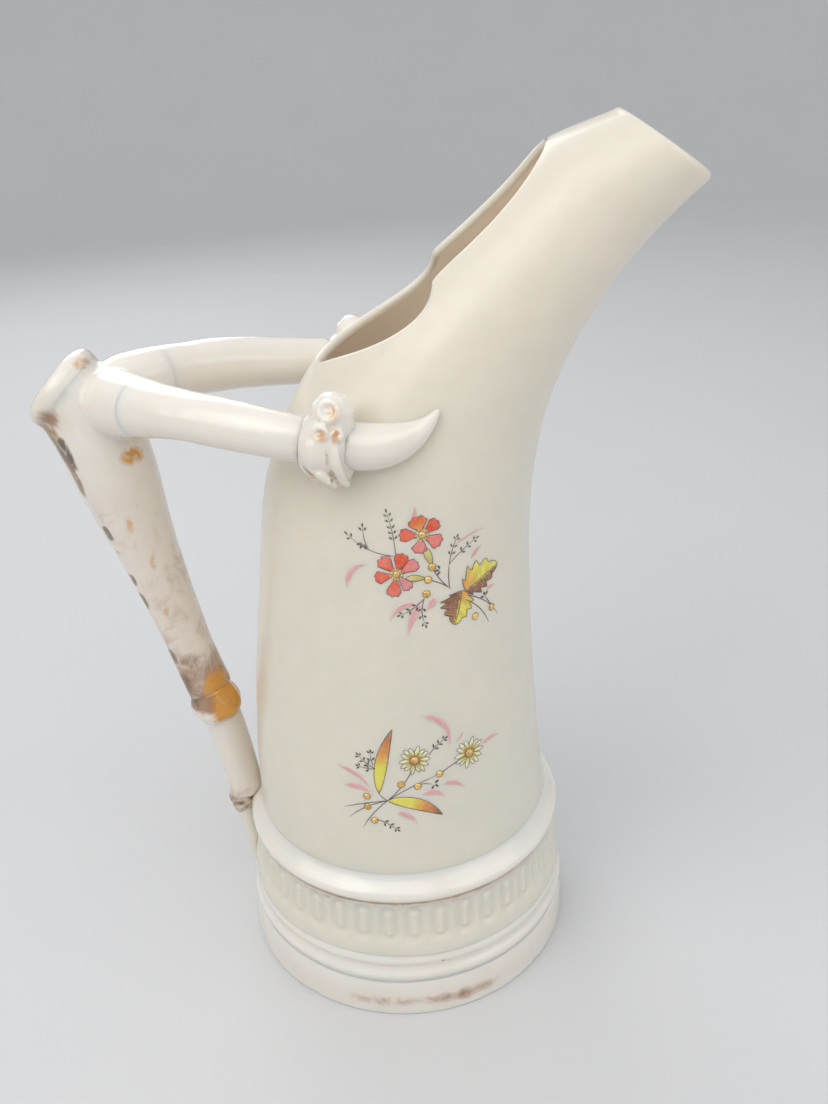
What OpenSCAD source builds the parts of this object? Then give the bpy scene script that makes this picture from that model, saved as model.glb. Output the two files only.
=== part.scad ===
// Tusk-shaped porcelain cream jug with a forked branch handle.
// Millimetres. +Z is up and +X points the way the spout pours.
// The origin is the centre of the foot ring on the table.

/* [Plinth] */
// Outer radius of the foot ring at the table
foot_r = 45.2; // [44.6:0.1:46.5]
// Height of the foot ring's plain wall
foot_h = 11; // [9:0.5:12]
// Height at which the double bead ends and the frieze band starts
bead_top = 20; // [19:0.5:21]
// Height of the frieze band's upper edge
frieze_top = 35.5; // [35:0.1:36.5]
// Height of the crease between the shoulder moulding and the body
shoulder_top = 42.4; // [42:0.1:44]
// Inner radius of the plinth's rings
plinth_inner_r = 37.2; // [36:0.1:38]
// Number of ovals round the frieze
oval_count = 40; // [30:1:44]
// Height of one sunk oval
oval_h = 10.4; // [8:0.1:11]
// Width of one sunk oval
oval_w = 4.9; // [3.5:0.1:5]
// Thickness of the floor inside the jug
floor_t = 3; // [2:0.1:4]

/* [Body] */
// Radius of the body where it stands on the plinth
body_r = 39.6; // [39:0.1:40.5]
// Front outline's distance from the axis at the waist
waist_front = 34.8; // [33:0.1:37]
// Rear outline's distance from the axis at the waist
waist_rear = 32.3; // [30:0.1:34]
// Half width across the waist
waist_half = 34; // [32:0.1:36]
// Thickness of the porcelain wall
wall = 2.4; // [2:0.1:3]

/* [Spout] */
// Reach of the spout's lower lip from the axis
tip_x = 73.2; // [70:0.1:76]
// Height of the spout's lower lip
tip_z = 202.6; // [200:0.1:206]
// Reach of the spout's upper lip from the axis
peak_x = 52.8; // [50:0.1:55]
// Height of the spout's upper lip, which is the top of the jug
peak_z = 216.7; // [213:0.1:220]
// Half width across the mouth of the spout
mouth_half = 14; // [11:0.1:17]

/* [Filling opening] */
// Point just behind the rear outline where the scalloped cut starts, as x and z
rim_low = [-14.8, 166.2];
// Point of the cusp between the two scallops, as x and z
rim_cusp = [11.7, 186];
// Point just above the spout where the scalloped cut ends, as x and z
rim_notch = [36.3, 211.5];

/* [Handle] */
// Radius of the branch at the knee, where the arms leave it
branch_r = 10.6; // [9:0.1:11]
// Radius of the branch just above its cuff
branch_low_r = 5.9; // [5:0.1:6.5]
// Largest radius of the cuff
cuff_r = 7.5; // [6.8:0.1:8]
// Radius of the cut face of the branch
burr_r = 10.4; // [10:0.1:11]
// Radius of the right arm at its middle
right_arm_r = 5.4; // [4.8:0.1:6]
// Radius of the left arm at its middle
left_arm_r = 6.5; // [5.5:0.1:7]

/* [Hidden] */

ivory = "#efe6d2";
warm_white = "#f3eee4";
gilded = "#b98a3e";

body_sides = 62;        // facets round the body
tube_sides = 28;        // facets round an arm, a branch or a horn
round_fn = 96;          // facets round a turned ring in the preview
past = 0.6;             // how far a cutter reaches past a face

// Body outlines in the plane y = 0, as x and z, in three curves that join smoothly.
base_z = frieze_top;
front_low = [[body_r, shoulder_top], [body_r - 2.8, 67], [waist_front + 0.6, 93], [waist_front, 118]];
front_mid = [[waist_front, 118], [waist_front - 0.6, 145.6], [40.3, 165.7], [54, 183.3]];
front_top = [[54, 183.3], [59, 189.7], [66, 197], [tip_x, tip_z]];
rear_low = [[-body_r, shoulder_top], [-body_r - 0.9, 66.4], [-waist_rear - 3, 98.3], [-waist_rear, 122]];
rear_mid = [[-waist_rear, 122], [5.7 - waist_rear, 165.6], [-4.8, 176.5], [35.3, 209.7]];
rear_top = [[35.3, 209.7], [38.4, 212.2], [46.8, 214.3], [peak_x, peak_z]];

// Half widths against height: straight down to the plinth below the waist, tapering to the mouth above it
waist_z = 120;
half_low = [body_r, body_r - 1.6, waist_half + 2.2, waist_half];
half_high = [waist_half, waist_half - 0.8, 2 * mouth_half - 1, mouth_half];
mouth_z = (peak_z + tip_z) / 2;

// A point on a cubic curve with four control points
function curve(p, t) = pow(1 - t, 3) * p[0] + 3 * t * pow(1 - t, 2) * p[1]
    + 3 * t * t * (1 - t) * p[2] + pow(t, 3) * p[3];

// A value read off a list at u, from 0 to 1, with straight lines between the entries
function blend(list, u) = let (s = u * (len(list) - 1), i = min(floor(s), len(list) - 2))
    list[i] + (s - i) * (list[i + 1] - list[i]);

function half_at(z) = z < shoulder_top ? body_r
    : z < waist_z ? curve(half_low, (z - shoulder_top) / (waist_z - shoulder_top))
    : curve(half_high, (z - waist_z) / (mouth_z - waist_z));

// One section of the body: a 3-D ellipse between a front and a rear point
function section(front, rear, inset) =
    let (mid = (front + rear) / 2, span = front - rear, long = norm(span) / 2 - inset, dir = span / norm(span),
        half = half_at(mid[1]) - inset)
    [for (k = [0 : body_sides - 1]) let (a = 360 * k / body_sides)
        [mid[0] + long * cos(a) * dir[0], half * sin(a), mid[1] + long * cos(a) * dir[1]]];

function body_sections(inset, low_steps, mid_steps, top_steps) = concat(
    [section([body_r, base_z], [-body_r, base_z], inset)],
    [for (i = [0 : low_steps - 1]) let (t = i / low_steps)
        section(curve(front_low, t), curve(rear_low, t), inset)],
    [for (i = [0 : mid_steps - 1]) let (t = i / mid_steps)
        section(curve(front_mid, t), curve(rear_mid, t), inset)],
    [for (i = [0 : top_steps]) let (t = i / top_steps)
        section(curve(front_top, t), curve(rear_top, t), inset)]);

// A closed solid through a list of rings that all have the same number of points
module loft(rings) {
    n = len(rings[0]);
    m = len(rings);
    points = [for (ring = rings) for (p = ring) p];
    sides = [for (i = [0 : m - 2]) for (k = [0 : n - 1]) let (l = (k + 1) % n)
        [i * n + k, (i + 1) * n + k, (i + 1) * n + l, i * n + l]];
    bottom = [for (k = [0 : n - 1]) k];
    top = [for (k = [n - 1 : -1 : 0]) (m - 1) * n + k];
    polyhedron(points = points, faces = concat([bottom], sides, [top]), convexity = 8);
}

module body_outer() {
    loft(body_sections(0, 7, 15, 5));
}

// The hollow, drawn a little past both ends so that it cuts them open
module body_hollow() {
    inner = body_sections(wall, 7, 15, 5);
    last = len(inner) - 1;
    run = inner[last][0] - inner[last - 1][0];
    ahead = run / norm(run) * past * 4;
    first = [for (p = inner[0]) p - [0, 0, past]];
    middle = [for (i = [1 : last - 1]) inner[i]];
    end = [for (p = inner[last]) p + ahead];
    loft(concat([first], middle, [end]));
}

// Side view of the scalloped filling opening, cut straight across the body
module rim_cutter() {
    low_curve = [rim_low, rim_low + [9.5, 6.1], rim_cusp - [0, 9.5], rim_cusp];
    high_curve = [rim_cusp, rim_cusp + [7, 6.6], rim_notch - [8.6, 12.6], rim_notch];
    steps = 9;
    outline = concat(
        [[rim_low[0] - 30, rim_low[1] - 19]],
        [for (i = [0 : steps]) curve(low_curve, i / steps)],
        [for (i = [1 : steps]) curve(high_curve, i / steps)],
        [rim_notch + [4, 8], [rim_low[0] - 30, rim_notch[1] + 30]]);
    rotate([90, 0, 0])
        linear_extrude(height = 3 * body_r, center = true)
            polygon(outline);
}

// resize() with zeros leaves the size alone and keeps the result one closed mesh
module as_one_mesh() {
    resize([0, 0, 0]) children();
}

module body_shell() {
    color(ivory)
        as_one_mesh()
            difference() {
                body_outer();
                body_hollow();
                rim_cutter();
            }
}

floor_z = 4;            // underside of the floor above the table

module body_floor() {
    color(ivory)
        translate([0, 0, floor_z])
            cylinder(r = plinth_inner_r, h = floor_t, $fn = round_fn);
}

bead_r = 2.35;          // radius of the round edge of the shoulder moulding
crest_r = foot_r - 2.1; // largest radius of the shoulder moulding
neck_r = foot_r - 2.9;  // frieze band's radius at its upper edge

// A rounded band that the body seems to rise out of
module shoulder_moulding() {
    crest_z = frieze_top + bead_r + 0.6;
    color(warm_white)
        rotate_extrude($fn = round_fn)
            difference() {
                union() {
                    translate([crest_r - bead_r, crest_z])
                        circle(r = bead_r, $fn = 40);
                    translate([body_r, frieze_top])
                        square([neck_r - body_r, crest_z - frieze_top]);
                    polygon([
                        [body_r, crest_z], [crest_r - bead_r, crest_z],
                        [crest_r - bead_r + 0.9, crest_z + bead_r * 0.92], [body_r, shoulder_top]
                    ]);
                }
                square([body_r, shoulder_top + bead_r]);
            }
}

// One upright oval with round ends, standing off the axis and facing outwards
module oval_plate(width, height, inner_r, thick) {
    straight = height - width;
    rotate([90, 0, 90])
        translate([0, 0, inner_r])
            linear_extrude(height = thick)
                union() {
                    translate([0, straight / 2])
                        circle(d = width, $fn = 48);
                    translate([0, -straight / 2])
                        circle(d = width, $fn = 48);
                    square([width, straight], center = true);
                }
}

oval_z = (bead_top + frieze_top) / 2 + 1.6;     // height of the ovals' centres
oval_depth = 0.8;                               // how far the ovals are sunk
sunk_r = neck_r - oval_depth;

module frieze_profile(grow) {
    polygon([
        [plinth_inner_r, bead_top], [foot_r - 1.3 + grow, bead_top], [foot_r - 2.1 + grow, bead_top + 4.5],
        [foot_r - 2.7 + grow, bead_top + 10], [neck_r + grow, frieze_top], [plinth_inner_r, frieze_top]
    ]);
}

module frieze_band() {
    color(ivory)
        difference() {
            rotate_extrude($fn = round_fn) frieze_profile(0);
            for (i = [0 : oval_count - 1])
                rotate([0, 0, 360 * (i + 0.5) / oval_count])
                    translate([0, 0, oval_z])
                        oval_plate(oval_w, oval_h, sunk_r, foot_r - sunk_r);
        }
}

// A slim raised drop standing in the middle of each sunk oval
module frieze_ovals() {
    drop_w = oval_w * 0.42;
    drop_h = oval_h * 0.72;
    color(ivory)
        for (i = [0 : oval_count - 1])
            rotate([0, 0, 360 * (i + 0.5) / oval_count])
                translate([0, 0, oval_z])
                    oval_plate(drop_w, drop_h, sunk_r, oval_depth + 0.3);
}

// Two rounded beads with a fine groove between them
module bead_moulding() {
    groove_z = 15.6;
    lower_round = (groove_z - foot_h) / 2;
    upper_round = (bead_top - groove_z) / 2;
    color(warm_white)
        rotate_extrude($fn = round_fn)
            union() {
                translate([plinth_inner_r, foot_h])
                    square([foot_r - 1.6 - plinth_inner_r, bead_top - foot_h]);
                translate([foot_r - 0.4 - lower_round, foot_h + lower_round])
                    circle(r = lower_round, $fn = 40);
                translate([foot_r - 1.1 - upper_round, groove_z + upper_round])
                    circle(r = upper_round, $fn = 40);
            }
}

module foot_ring() {
    bevel = 3.3;        // width of the sloping inside edge that leaves a narrow ring to stand on
    color(warm_white)
        rotate_extrude($fn = round_fn)
            polygon([
                [plinth_inner_r, floor_z], [plinth_inner_r + bevel, 0], [foot_r - 0.6, 0], [foot_r, 0.8],
                [foot_r - 0.3, foot_h * 0.7], [foot_r - 0.7, foot_h], [plinth_inner_r, foot_h]
            ]);
}

// Points of a ring round a path: normal to the path's direction, level sideways
function tube_ring(at, dir, r) =
    let (d = dir / norm(dir), s0 = cross(d, [0, 0, 1]), s1 = norm(s0) > 0.01 ? s0 : [0, 1, 0],
        side = s1 / norm(s1), up = cross(side, d))
    [for (k = [0 : tube_sides - 1]) let (a = -360 * k / tube_sides) at + r * (cos(a) * side + sin(a) * up)];

// Rings along a cubic path from u0 to u1, with radii spread evenly along them
function tube_rings(path, radii, u0, u1, steps) =
    [for (i = [0 : steps]) let (f = i / steps, u = u0 + f * (u1 - u0), e = 0.001)
        tube_ring(curve(path, u), curve(path, u + e) - curve(path, u - e), blend(radii, f))];

// Centre lines of the branch from its cut face to the plinth, as x and z
branch_high = [[-75.5, 160], [-70.2, 155.3], [-67.3, 141.5], [-63.9, 125.6]];
branch_down = [[-63.9, 125.6], [-61.5, 114.4], [-56.5, 92], [-51.4, 75]];
stem_down = [[-51.4, 75], [-48.9, 66.5], [-46.3, 54], [-45.1, 40]];
function in_3d(path) = [for (p = path) [p[0], 0, p[1]]];

module branch_solid() {
    high = tube_rings(in_3d(branch_high), [branch_r - 0.8, branch_r - 0.3, branch_r, branch_r - 0.4, 8.7], 0, 1, 9);
    down = tube_rings(in_3d(branch_down), [8.7, 7.5, 6.5, branch_low_r, branch_low_r], 0, 1, 10);
    loft(concat(high, [for (i = [1 : len(down) - 1]) down[i]]));
}

module handle_branch() {
    color(warm_white) branch_solid();
}

// Flared cut face at the top of the branch
module branch_burr() {
    thick = 3.4;
    run = branch_high[0] - branch_high[1];
    tilt = atan2(run[0], run[1]);
    color(warm_white)
        translate([branch_high[0][0], 0, branch_high[0][1]])
            rotate([0, tilt, 0])
                rotate_extrude($fn = 48)
                    polygon([
                        [0, 0], [branch_r - 0.9, 0], [burr_r, thick * 0.55], [burr_r, thick * 0.8],
                        [burr_r - 1, thick], [burr_r - 4, thick - 0.5], [0, thick - 0.9]
                    ]);
}

module branch_cuff() {
    color(gilded)
        loft(tube_rings(in_3d(stem_down), [branch_low_r, branch_low_r + 0.5, cuff_r, cuff_r, cuff_r - 0.6, 5.3], 0, 0.3, 10));
}

module lower_stem() {
    color(warm_white)
        as_one_mesh()
            difference() {
                loft(tube_rings(in_3d(stem_down), [5.3, 5, 4.8, 4.8], 0.3, 1, 10));
                body_outer();
                plinth_solid();
            }
}

// Everything inside the plinth's outer surface, as a cutter for the handle's foot
module plinth_solid() {
    rotate_extrude($fn = round_fn)
        union() {
            square([foot_r - 0.4, foot_h + 4.6]);
            square([foot_r - 1.1, bead_top]);
            translate([0, 0]) frieze_profile(0);
            square([plinth_inner_r + past, frieze_top]);
            translate([0, frieze_top])
                square([crest_r - bead_r, shoulder_top - frieze_top]);
            translate([crest_r - bead_r, frieze_top + bead_r + 0.6])
                circle(r = bead_r, $fn = 40);
        }
}

// A small bud where the stem turns over the shoulder moulding
knuckle_path = [[-45.1, 0, 40], [-46.6, 0, 38.6], [-46.9, 0, 36.4], [-46, 0, 33.4]];

module stem_knuckle() {
    color(gilded)
        as_one_mesh()
            difference() {
                loft(tube_rings(knuckle_path, [4.8, 4.2, 3.6, 3.3, 2.6], 0, 1, 8));
                plinth_solid();
            }
}

tail_path = [[-46, 0, 33.4], [-45.2, 0, 29], [-45, 0, 22], [-43.8, 0, 13.5]];

module stem_tail() {
    color(warm_white)
        as_one_mesh()
            difference() {
                loft(tube_rings(tail_path, [2.6, 2.3, 2, 1.5], 0, 1, 10));
                plinth_solid();
            }
}

// Centre lines of the two arms, from inside the branch to their collars
right_path = [[-63, -3, 157], [-52, -14, 158.6], [-36, -27, 160.6], [-15.5, -30.6, 156.4]];
left_path = [[-63, 3, 158], [-52, 13, 161.4], [-38, 27, 157.4], [-15.5, 30.6, 156]];

module arm(path, radii) {
    color(warm_white)
        as_one_mesh()
            difference() {
                loft(tube_rings(path, radii, 0, 1, 16));
                branch_solid();
                body_outer();
            }
}

module right_arm() {
    arm(right_path, [8.4, 7.2, 6, right_arm_r, right_arm_r, right_arm_r - 0.2, 5]);
}

module left_arm() {
    arm(left_path, [8.4, 7.4, left_arm_r, left_arm_r + 0.2, left_arm_r, left_arm_r - 0.2, 6]);
}

// Centre line of the collar and the horn on the right side; the left side mirrors it
collar_path = [[-15.5, -30.6, 156.2], [-12.5, -30.9, 155.8], [-9.5, -31, 155.4], [-6.5, -31, 155.2]];
horn_path = [[-6.5, -31, 155.2], [0.5, -31, 153.6], [9, -31, 155.4], [13, -30, 162]];

module collar_right_side() {
    color(gilded)
        as_one_mesh()
            difference() {
                union() {
                    loft(tube_rings(collar_path, [5.6, 7.6, 8.6, 8.8, 8, 5.8], 0, 1, 10));
                    hull() {
                        translate([-9, -30.5, 152])
                            sphere(r = 5, $fn = 20);
                        translate([-7.6, -31, 146.4])
                            sphere(r = 1.4, $fn = 16);
                    }
                    translate([-9, -31.5, 162.6])
                        sphere(r = 3.2, $fn = 20);
                }
                body_outer();
            }
}

module horn_right_side() {
    color(warm_white)
        as_one_mesh()
            difference() {
                loft(tube_rings(horn_path, [5.2, 5.2, 5, 4.4, 3.4, 1.4], 0, 1, 14));
                body_outer();
            }
}

module right_collar() {
    collar_right_side();
}

module left_collar() {
    mirror([0, 1, 0]) collar_right_side();
}

module right_horn() {
    horn_right_side();
}

module left_horn() {
    mirror([0, 1, 0]) horn_right_side();
}

body_shell();
body_floor();
shoulder_moulding();
frieze_band();
frieze_ovals();
bead_moulding();
foot_ring();
handle_branch();
branch_burr();
right_arm();
left_arm();
right_collar();
left_collar();
right_horn();
left_horn();
branch_cuff();
lower_stem();
stem_knuckle();
stem_tail();
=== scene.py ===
import math

import bmesh
import bpy
import numpy as np
from mathutils import Matrix, Vector, geometry


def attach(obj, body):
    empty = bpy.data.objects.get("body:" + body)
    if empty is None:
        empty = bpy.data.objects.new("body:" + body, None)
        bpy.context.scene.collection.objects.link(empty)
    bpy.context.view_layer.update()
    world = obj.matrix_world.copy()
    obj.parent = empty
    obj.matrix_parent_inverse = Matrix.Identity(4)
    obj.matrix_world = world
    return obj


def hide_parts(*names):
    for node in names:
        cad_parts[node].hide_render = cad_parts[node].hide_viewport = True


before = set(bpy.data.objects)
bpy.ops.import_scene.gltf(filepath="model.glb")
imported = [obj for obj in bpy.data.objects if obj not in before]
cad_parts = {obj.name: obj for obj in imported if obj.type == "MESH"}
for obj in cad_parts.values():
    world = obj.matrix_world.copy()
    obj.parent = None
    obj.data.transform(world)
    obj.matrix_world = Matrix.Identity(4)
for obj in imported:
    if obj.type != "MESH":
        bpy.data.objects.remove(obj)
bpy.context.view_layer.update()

scene = bpy.context.scene
MM = 0.001

# ---------------------------------------------------------------- body form, in millimetres

WALL = 2.4
FRONT = [
    [[39.6, 42.4], [36.8, 67], [35.4, 93], [34.8, 118]],
    [[34.8, 118], [34.2, 145.6], [40.3, 165.7], [54, 183.3]],
    [[54, 183.3], [59, 189.7], [66, 197], [73.2, 202.6]],
]
REAR = [
    [[-39.6, 42.4], [-40.5, 66.4], [-35.3, 98.3], [-32.3, 122]],
    [[-32.3, 122], [-26.6, 165.6], [-4.8, 176.5], [35.3, 209.7]],
    [[35.3, 209.7], [38.4, 212.2], [46.8, 214.3], [52.8, 216.7]],
]
HALF_LOW = [39.6, 38.0, 36.2, 34.0]
HALF_HIGH = [34.0, 33.2, 27.0, 14.0]
SHOULDER_Z, WAIST_Z, MOUTH_Z, BASE_Z = 42.4, 120.0, 209.65, 35.5
RIM_LOW = [[-13.6, 167.1], [-5.3, 172.3], [11.7, 176.5], [11.7, 186]]
RIM_HIGH = [[11.7, 186], [18.7, 192.6], [27.3, 198.3], [35.3, 209.9]]


def bez(p, t):
    """Point or points on a cubic curve; p holds four control points or values."""
    p = np.asarray(p, float)
    t = np.asarray(t, float)
    t = t[..., None] if p.ndim > 1 else t
    q = 1 - t
    return q**3 * p[0] + 3 * t * q * q * p[1] + 3 * t * t * q * p[2] + t**3 * p[3]


def outline(curves, s):
    """Outline point at s: -1 to 0 is the straight foot of the body, then one curve a unit."""
    s = np.asarray(s, float)
    flat = s.ravel()
    out = np.empty(flat.shape + (2,))
    low = flat < 0
    out[low, 0] = curves[0][0][0]
    out[low, 1] = SHOULDER_Z + flat[low] * (SHOULDER_Z - BASE_Z)
    for i, c in enumerate(curves):
        m = (flat >= i) & ((flat < i + 1) | (i == 2))
        out[m] = bez(c, flat[m] - i)
    return out.reshape(s.shape + (2,))


def half_width(z):
    """Half the body's width across, at height z."""
    low = bez(HALF_LOW, np.clip((z - SHOULDER_Z) / (WAIST_Z - SHOULDER_Z), 0, 1))
    high = bez(HALF_HIGH, np.clip((z - WAIST_Z) / (MOUTH_Z - WAIST_Z), 0, 1.3))
    return np.where(z < WAIST_Z, low, high)


LUMPS_FROM_Z, LUMPS_FADE = 44, 10
STEP = 1e-3             # a small step in s or theta, for slopes


def lumps(p):
    """Faint unevenness of a hand-finished slip casting."""
    x, y, z = p[..., 0], p[..., 1], p[..., 2]
    a = np.sin(x * 0.11 + z * 0.061 + 1.3) * np.sin(y * 0.093 - z * 0.047 + 0.4)
    b = np.sin(x * 0.23 - y * 0.19 + z * 0.13 + 2.1) * np.sin(z * 0.21 + y * 0.05)
    c = np.sin(x * 0.61 + z * 0.43) * np.sin(y * 0.55 - z * 0.37 + 0.9)
    return 0.13 * a + 0.06 * b + 0.012 * c


def shell(s, theta, inset=0.0, lumpy=True):
    """Point of the body's surface on section s at angle theta; theta 0 is the front."""
    front, rear = outline(FRONT, s), outline(REAR, s)
    mid, span = (front + rear) / 2, front - rear
    length = np.linalg.norm(span, axis=-1)
    d = span / length[..., None]
    a, b = length / 2 - inset, half_width(mid[..., 1]) - inset
    cu, su = np.cos(theta), np.sin(theta)
    p = np.stack([mid[..., 0] + a * cu * d[..., 0], b * su, mid[..., 1] + a * cu * d[..., 1]], -1)
    if lumpy:
        n = np.stack([b * cu * d[..., 0], a * su, b * cu * d[..., 1]], -1)
        n /= np.linalg.norm(n, axis=-1)[..., None]
        fade = np.clip((p[..., 2] - LUMPS_FROM_Z) / LUMPS_FADE, 0, 1)
        p = p + n * (lumps(p) * fade)[..., None]
    return p


HALVINGS = 46


def section_at(q, s0, s1):
    """Sections between s0 and s1 whose line passes through the points q (x, z), and cos(theta) there."""
    lo, hi = np.full(len(q), s0), np.full(len(q), s1)

    def side(s):
        f, r = outline(FRONT, s), outline(REAR, s)
        d = f - r
        return d[:, 0] * (q[:, 1] - r[:, 1]) - d[:, 1] * (q[:, 0] - r[:, 0])

    for _ in range(HALVINGS):
        m = (lo + hi) / 2
        above = side(m) > 0
        lo, hi = np.where(above, m, lo), np.where(above, hi, m)
    s = (lo + hi) / 2
    f, r = outline(FRONT, s), outline(REAR, s)
    d = f - r
    length = np.linalg.norm(d, axis=1)
    u = ((q - (f + r) / 2) * d).sum(1) / length / (length / 2)
    return s, u


def on_body(x, z, side):
    """Surface point and outward normal of the body seen from the side at x, z."""
    q = np.stack([np.asarray(x, float), np.asarray(z, float)], -1)
    s, u = section_at(q, 0.0, 3.0)
    th = side * np.arccos(np.clip(u, -0.999, 0.999))
    around = shell(s, th + STEP) - shell(s, th - STEP)
    n = np.cross(around, shell(s + STEP, th) - shell(s - STEP, th))
    n /= np.linalg.norm(n, axis=-1)[:, None]
    n *= np.sign(n[:, 1:2] * side)
    return shell(s, th), n


# ---------------------------------------------------------------- materials

def linear(c):
    """Linear light of sRGB values from 0 to 1."""
    return np.where(c <= 0.04045, c / 12.92, ((c + 0.055) / 1.055) ** 2.4)


def srgb(r, g, b):
    return (*linear(np.array([r, g, b]) / 255).tolist(), 1.0)


class Tree:
    """A node material with short calls for the nodes used here."""

    def __init__(self, name):
        self.mat = bpy.data.materials.new(name)
        self.mat.use_nodes = True
        self.nt = self.mat.node_tree
        self.bsdf = self.nt.nodes["Principled BSDF"]
        self.pos = self.new("ShaderNodeTexCoord").outputs["Object"]

    def new(self, kind, **props):
        n = self.nt.nodes.new(kind)
        for k, v in props.items():
            setattr(n, k, v)
        return n

    def put(self, socket, value):
        if isinstance(value, bpy.types.NodeSocket):
            self.nt.links.new(value, socket)
        else:
            socket.default_value = value

    def set(self, name, value):
        self.put(self.bsdf.inputs[name], value)

    def noise(self, scale, detail=3.0, rough=0.55, distortion=0.0):
        n = self.new("ShaderNodeTexNoise")
        self.put(n.inputs["Vector"], self.pos)
        n.inputs["Scale"].default_value = scale
        n.inputs["Detail"].default_value = detail
        n.inputs["Roughness"].default_value = rough
        n.inputs["Distortion"].default_value = distortion
        return n.outputs["Fac"]

    def cells(self, scale):
        """Distance to the nearest of many scattered points."""
        n = self.new("ShaderNodeTexVoronoi")
        self.put(n.inputs["Vector"], self.pos)
        n.inputs["Scale"].default_value = scale
        return n.outputs["Distance"]

    def math(self, op, a, b):
        n = self.new("ShaderNodeMath", operation=op)
        self.put(n.inputs[0], a)
        self.put(n.inputs[1], b)
        return n.outputs[0]

    def times(self, a, b):
        return self.math("MULTIPLY", a, b)

    def plus(self, a, b):
        return self.math("ADD", a, b)

    def span(self, v, a, b, lo=0.0, hi=1.0):
        """A smooth step from lo to hi while v goes from a to b."""
        n = self.new("ShaderNodeMapRange", interpolation_type="SMOOTHSTEP")
        self.put(n.inputs[0], v)
        for i, x in enumerate((a, b, lo, hi)):
            n.inputs[i + 1].default_value = x
        return n.outputs[0]

    def mix(self, fac, a, b):
        n = self.new("ShaderNodeMix", data_type="RGBA")
        self.put(n.inputs[0], fac)
        self.put(n.inputs[6], a)
        self.put(n.inputs[7], b)
        return n.outputs[2]

    def tint(self, tone, mask, share, colour):
        """The tone, with a share of the colour where the mask is 1."""
        return self.mix(self.times(mask, share), tone, colour)

    def ramp(self, v, stops):
        n = self.new("ShaderNodeValToRGB")
        self.put(n.inputs[0], v)
        e = n.color_ramp.elements
        while len(e) < len(stops):
            e.new(0.5)
        for el, (x, c) in zip(e, stops):
            el.position = x
            el.color = c
        return n.outputs[0]

    def attr(self, name):
        n = self.new("ShaderNodeAttribute", attribute_name=name)
        return n.outputs["Fac"]

    def bump(self, height, strength, distance):
        n = self.new("ShaderNodeBump")
        n.inputs["Strength"].default_value = strength
        n.inputs["Distance"].default_value = distance
        self.put(n.inputs["Height"], height)
        self.put(self.bsdf.inputs["Normal"], n.outputs[0])


# the last colour here is the inside's tone: painted light, paler and warmer than the outer glaze
SPECK, BLUSH, WEAR, INNER_PAINTED_LIGHT = srgb(128, 112, 92), srgb(216, 188, 168), srgb(150, 106, 66), srgb(255, 241, 228)
GOLD = [(0.0, srgb(222, 157, 60)), (0.35, srgb(200, 146, 74)), (0.65, srgb(148, 118, 74)),
        (1.0, srgb(88, 72, 48))]
FLESH_RADIUS = (0.006, 0.0038,
                0.0024)      # how far red, green and blue light spread in the porcelain, metres


def glaze(name, base, warm, shade, rough, coat):
    """Glazed porcelain: faint mottling, a paler, warmer inside as painted light, kiln specks and pits, brown
    staining and rubbed gilding.
    """
    t = Tree(name)
    tone = t.mix(t.span(t.noise(28, 3, 0.6), 0.35, 0.68), base, warm)
    tone = t.tint(tone, t.span(t.noise(190, 3, 0.6), 0.35, 0.7), 0.22, shade)
    # painted light: the inner wall and floor take a paler, warmer tone, standing in for light that comes
    # through the thin porcelain
    tone = t.mix(t.attr("inside"), tone, INNER_PAINTED_LIGHT)
    # small dark kiln specks
    specks = t.times(t.span(t.cells(95), 0.055, 0.03), t.span(t.noise(33, 2, 0.5), 0.56, 0.62))
    tone = t.tint(tone, specks, 0.75, SPECK)
    # a pinkish blush where the stain is, mottled brown where it is strong
    stain = t.attr("stain")
    tone = t.tint(tone, stain, 0.45, BLUSH)
    worn = t.span(t.plus(stain, t.noise(125, 6, 0.72, distortion=0.7)), 0.86, 1.32)
    tone = t.tint(tone, t.times(worn, t.span(stain, 0.02, 0.16)), 0.85, WEAR)
    # thin rubbed gilding, orange where it is thin and brown where it is thick
    broken = t.span(t.noise(330, 4, 0.65, distortion=0.8), 0.3, 0.66, 0.42, 1.2)
    leaf = t.span(t.times(t.attr("gilt"), broken), 0.12, 0.9)
    kind = t.plus(t.attr("dark"), t.times(t.math("SUBTRACT", t.noise(210, 3), 0.5), 0.8))
    tone = t.tint(tone, leaf, 0.93, t.ramp(kind, GOLD))
    t.set("Base Color", tone)
    t.set("Metallic", t.times(leaf, 0.28))
    t.set("Roughness", t.plus(t.times(leaf, 0.16), t.span(t.noise(60, 3), 0.3, 0.7, rough, rough + 0.06)))
    t.set("Coat Weight", coat)
    t.set("Coat Roughness", 0.08)
    t.set("Specular IOR Level", 0.5)
    t.set("Subsurface Weight", 0.35)
    t.set("Subsurface Radius", FLESH_RADIUS)
    t.set("Subsurface Scale", 1.0)
    # the glaze's ripple, scattered pits, a fine grain, and a rougher grain under the gilding
    pits = t.times(t.times(t.span(t.cells(210), 0.09, 0.0), t.span(t.noise(40, 2), 0.5, 0.6)), -0.35)
    grain = t.times(t.noise(420, 2, 0.5), 0.05)
    rub = t.times(leaf, t.times(t.noise(900, 2), 0.12))
    t.bump(t.plus(t.plus(t.noise(55, 2, 0.5), pits), t.plus(grain, rub)), 0.35, 0.0006)
    return t.mat


IVORY = glaze("ivory_glaze", srgb(223, 218, 203), srgb(228, 220, 205), srgb(214, 209, 191), 0.29, 0.25)
WHITE = glaze("white_glaze", srgb(233, 229, 220), srgb(234, 227, 216), srgb(223, 216, 202), 0.15, 0.6)

# ---------------------------------------------------------------- mesh helpers


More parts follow.
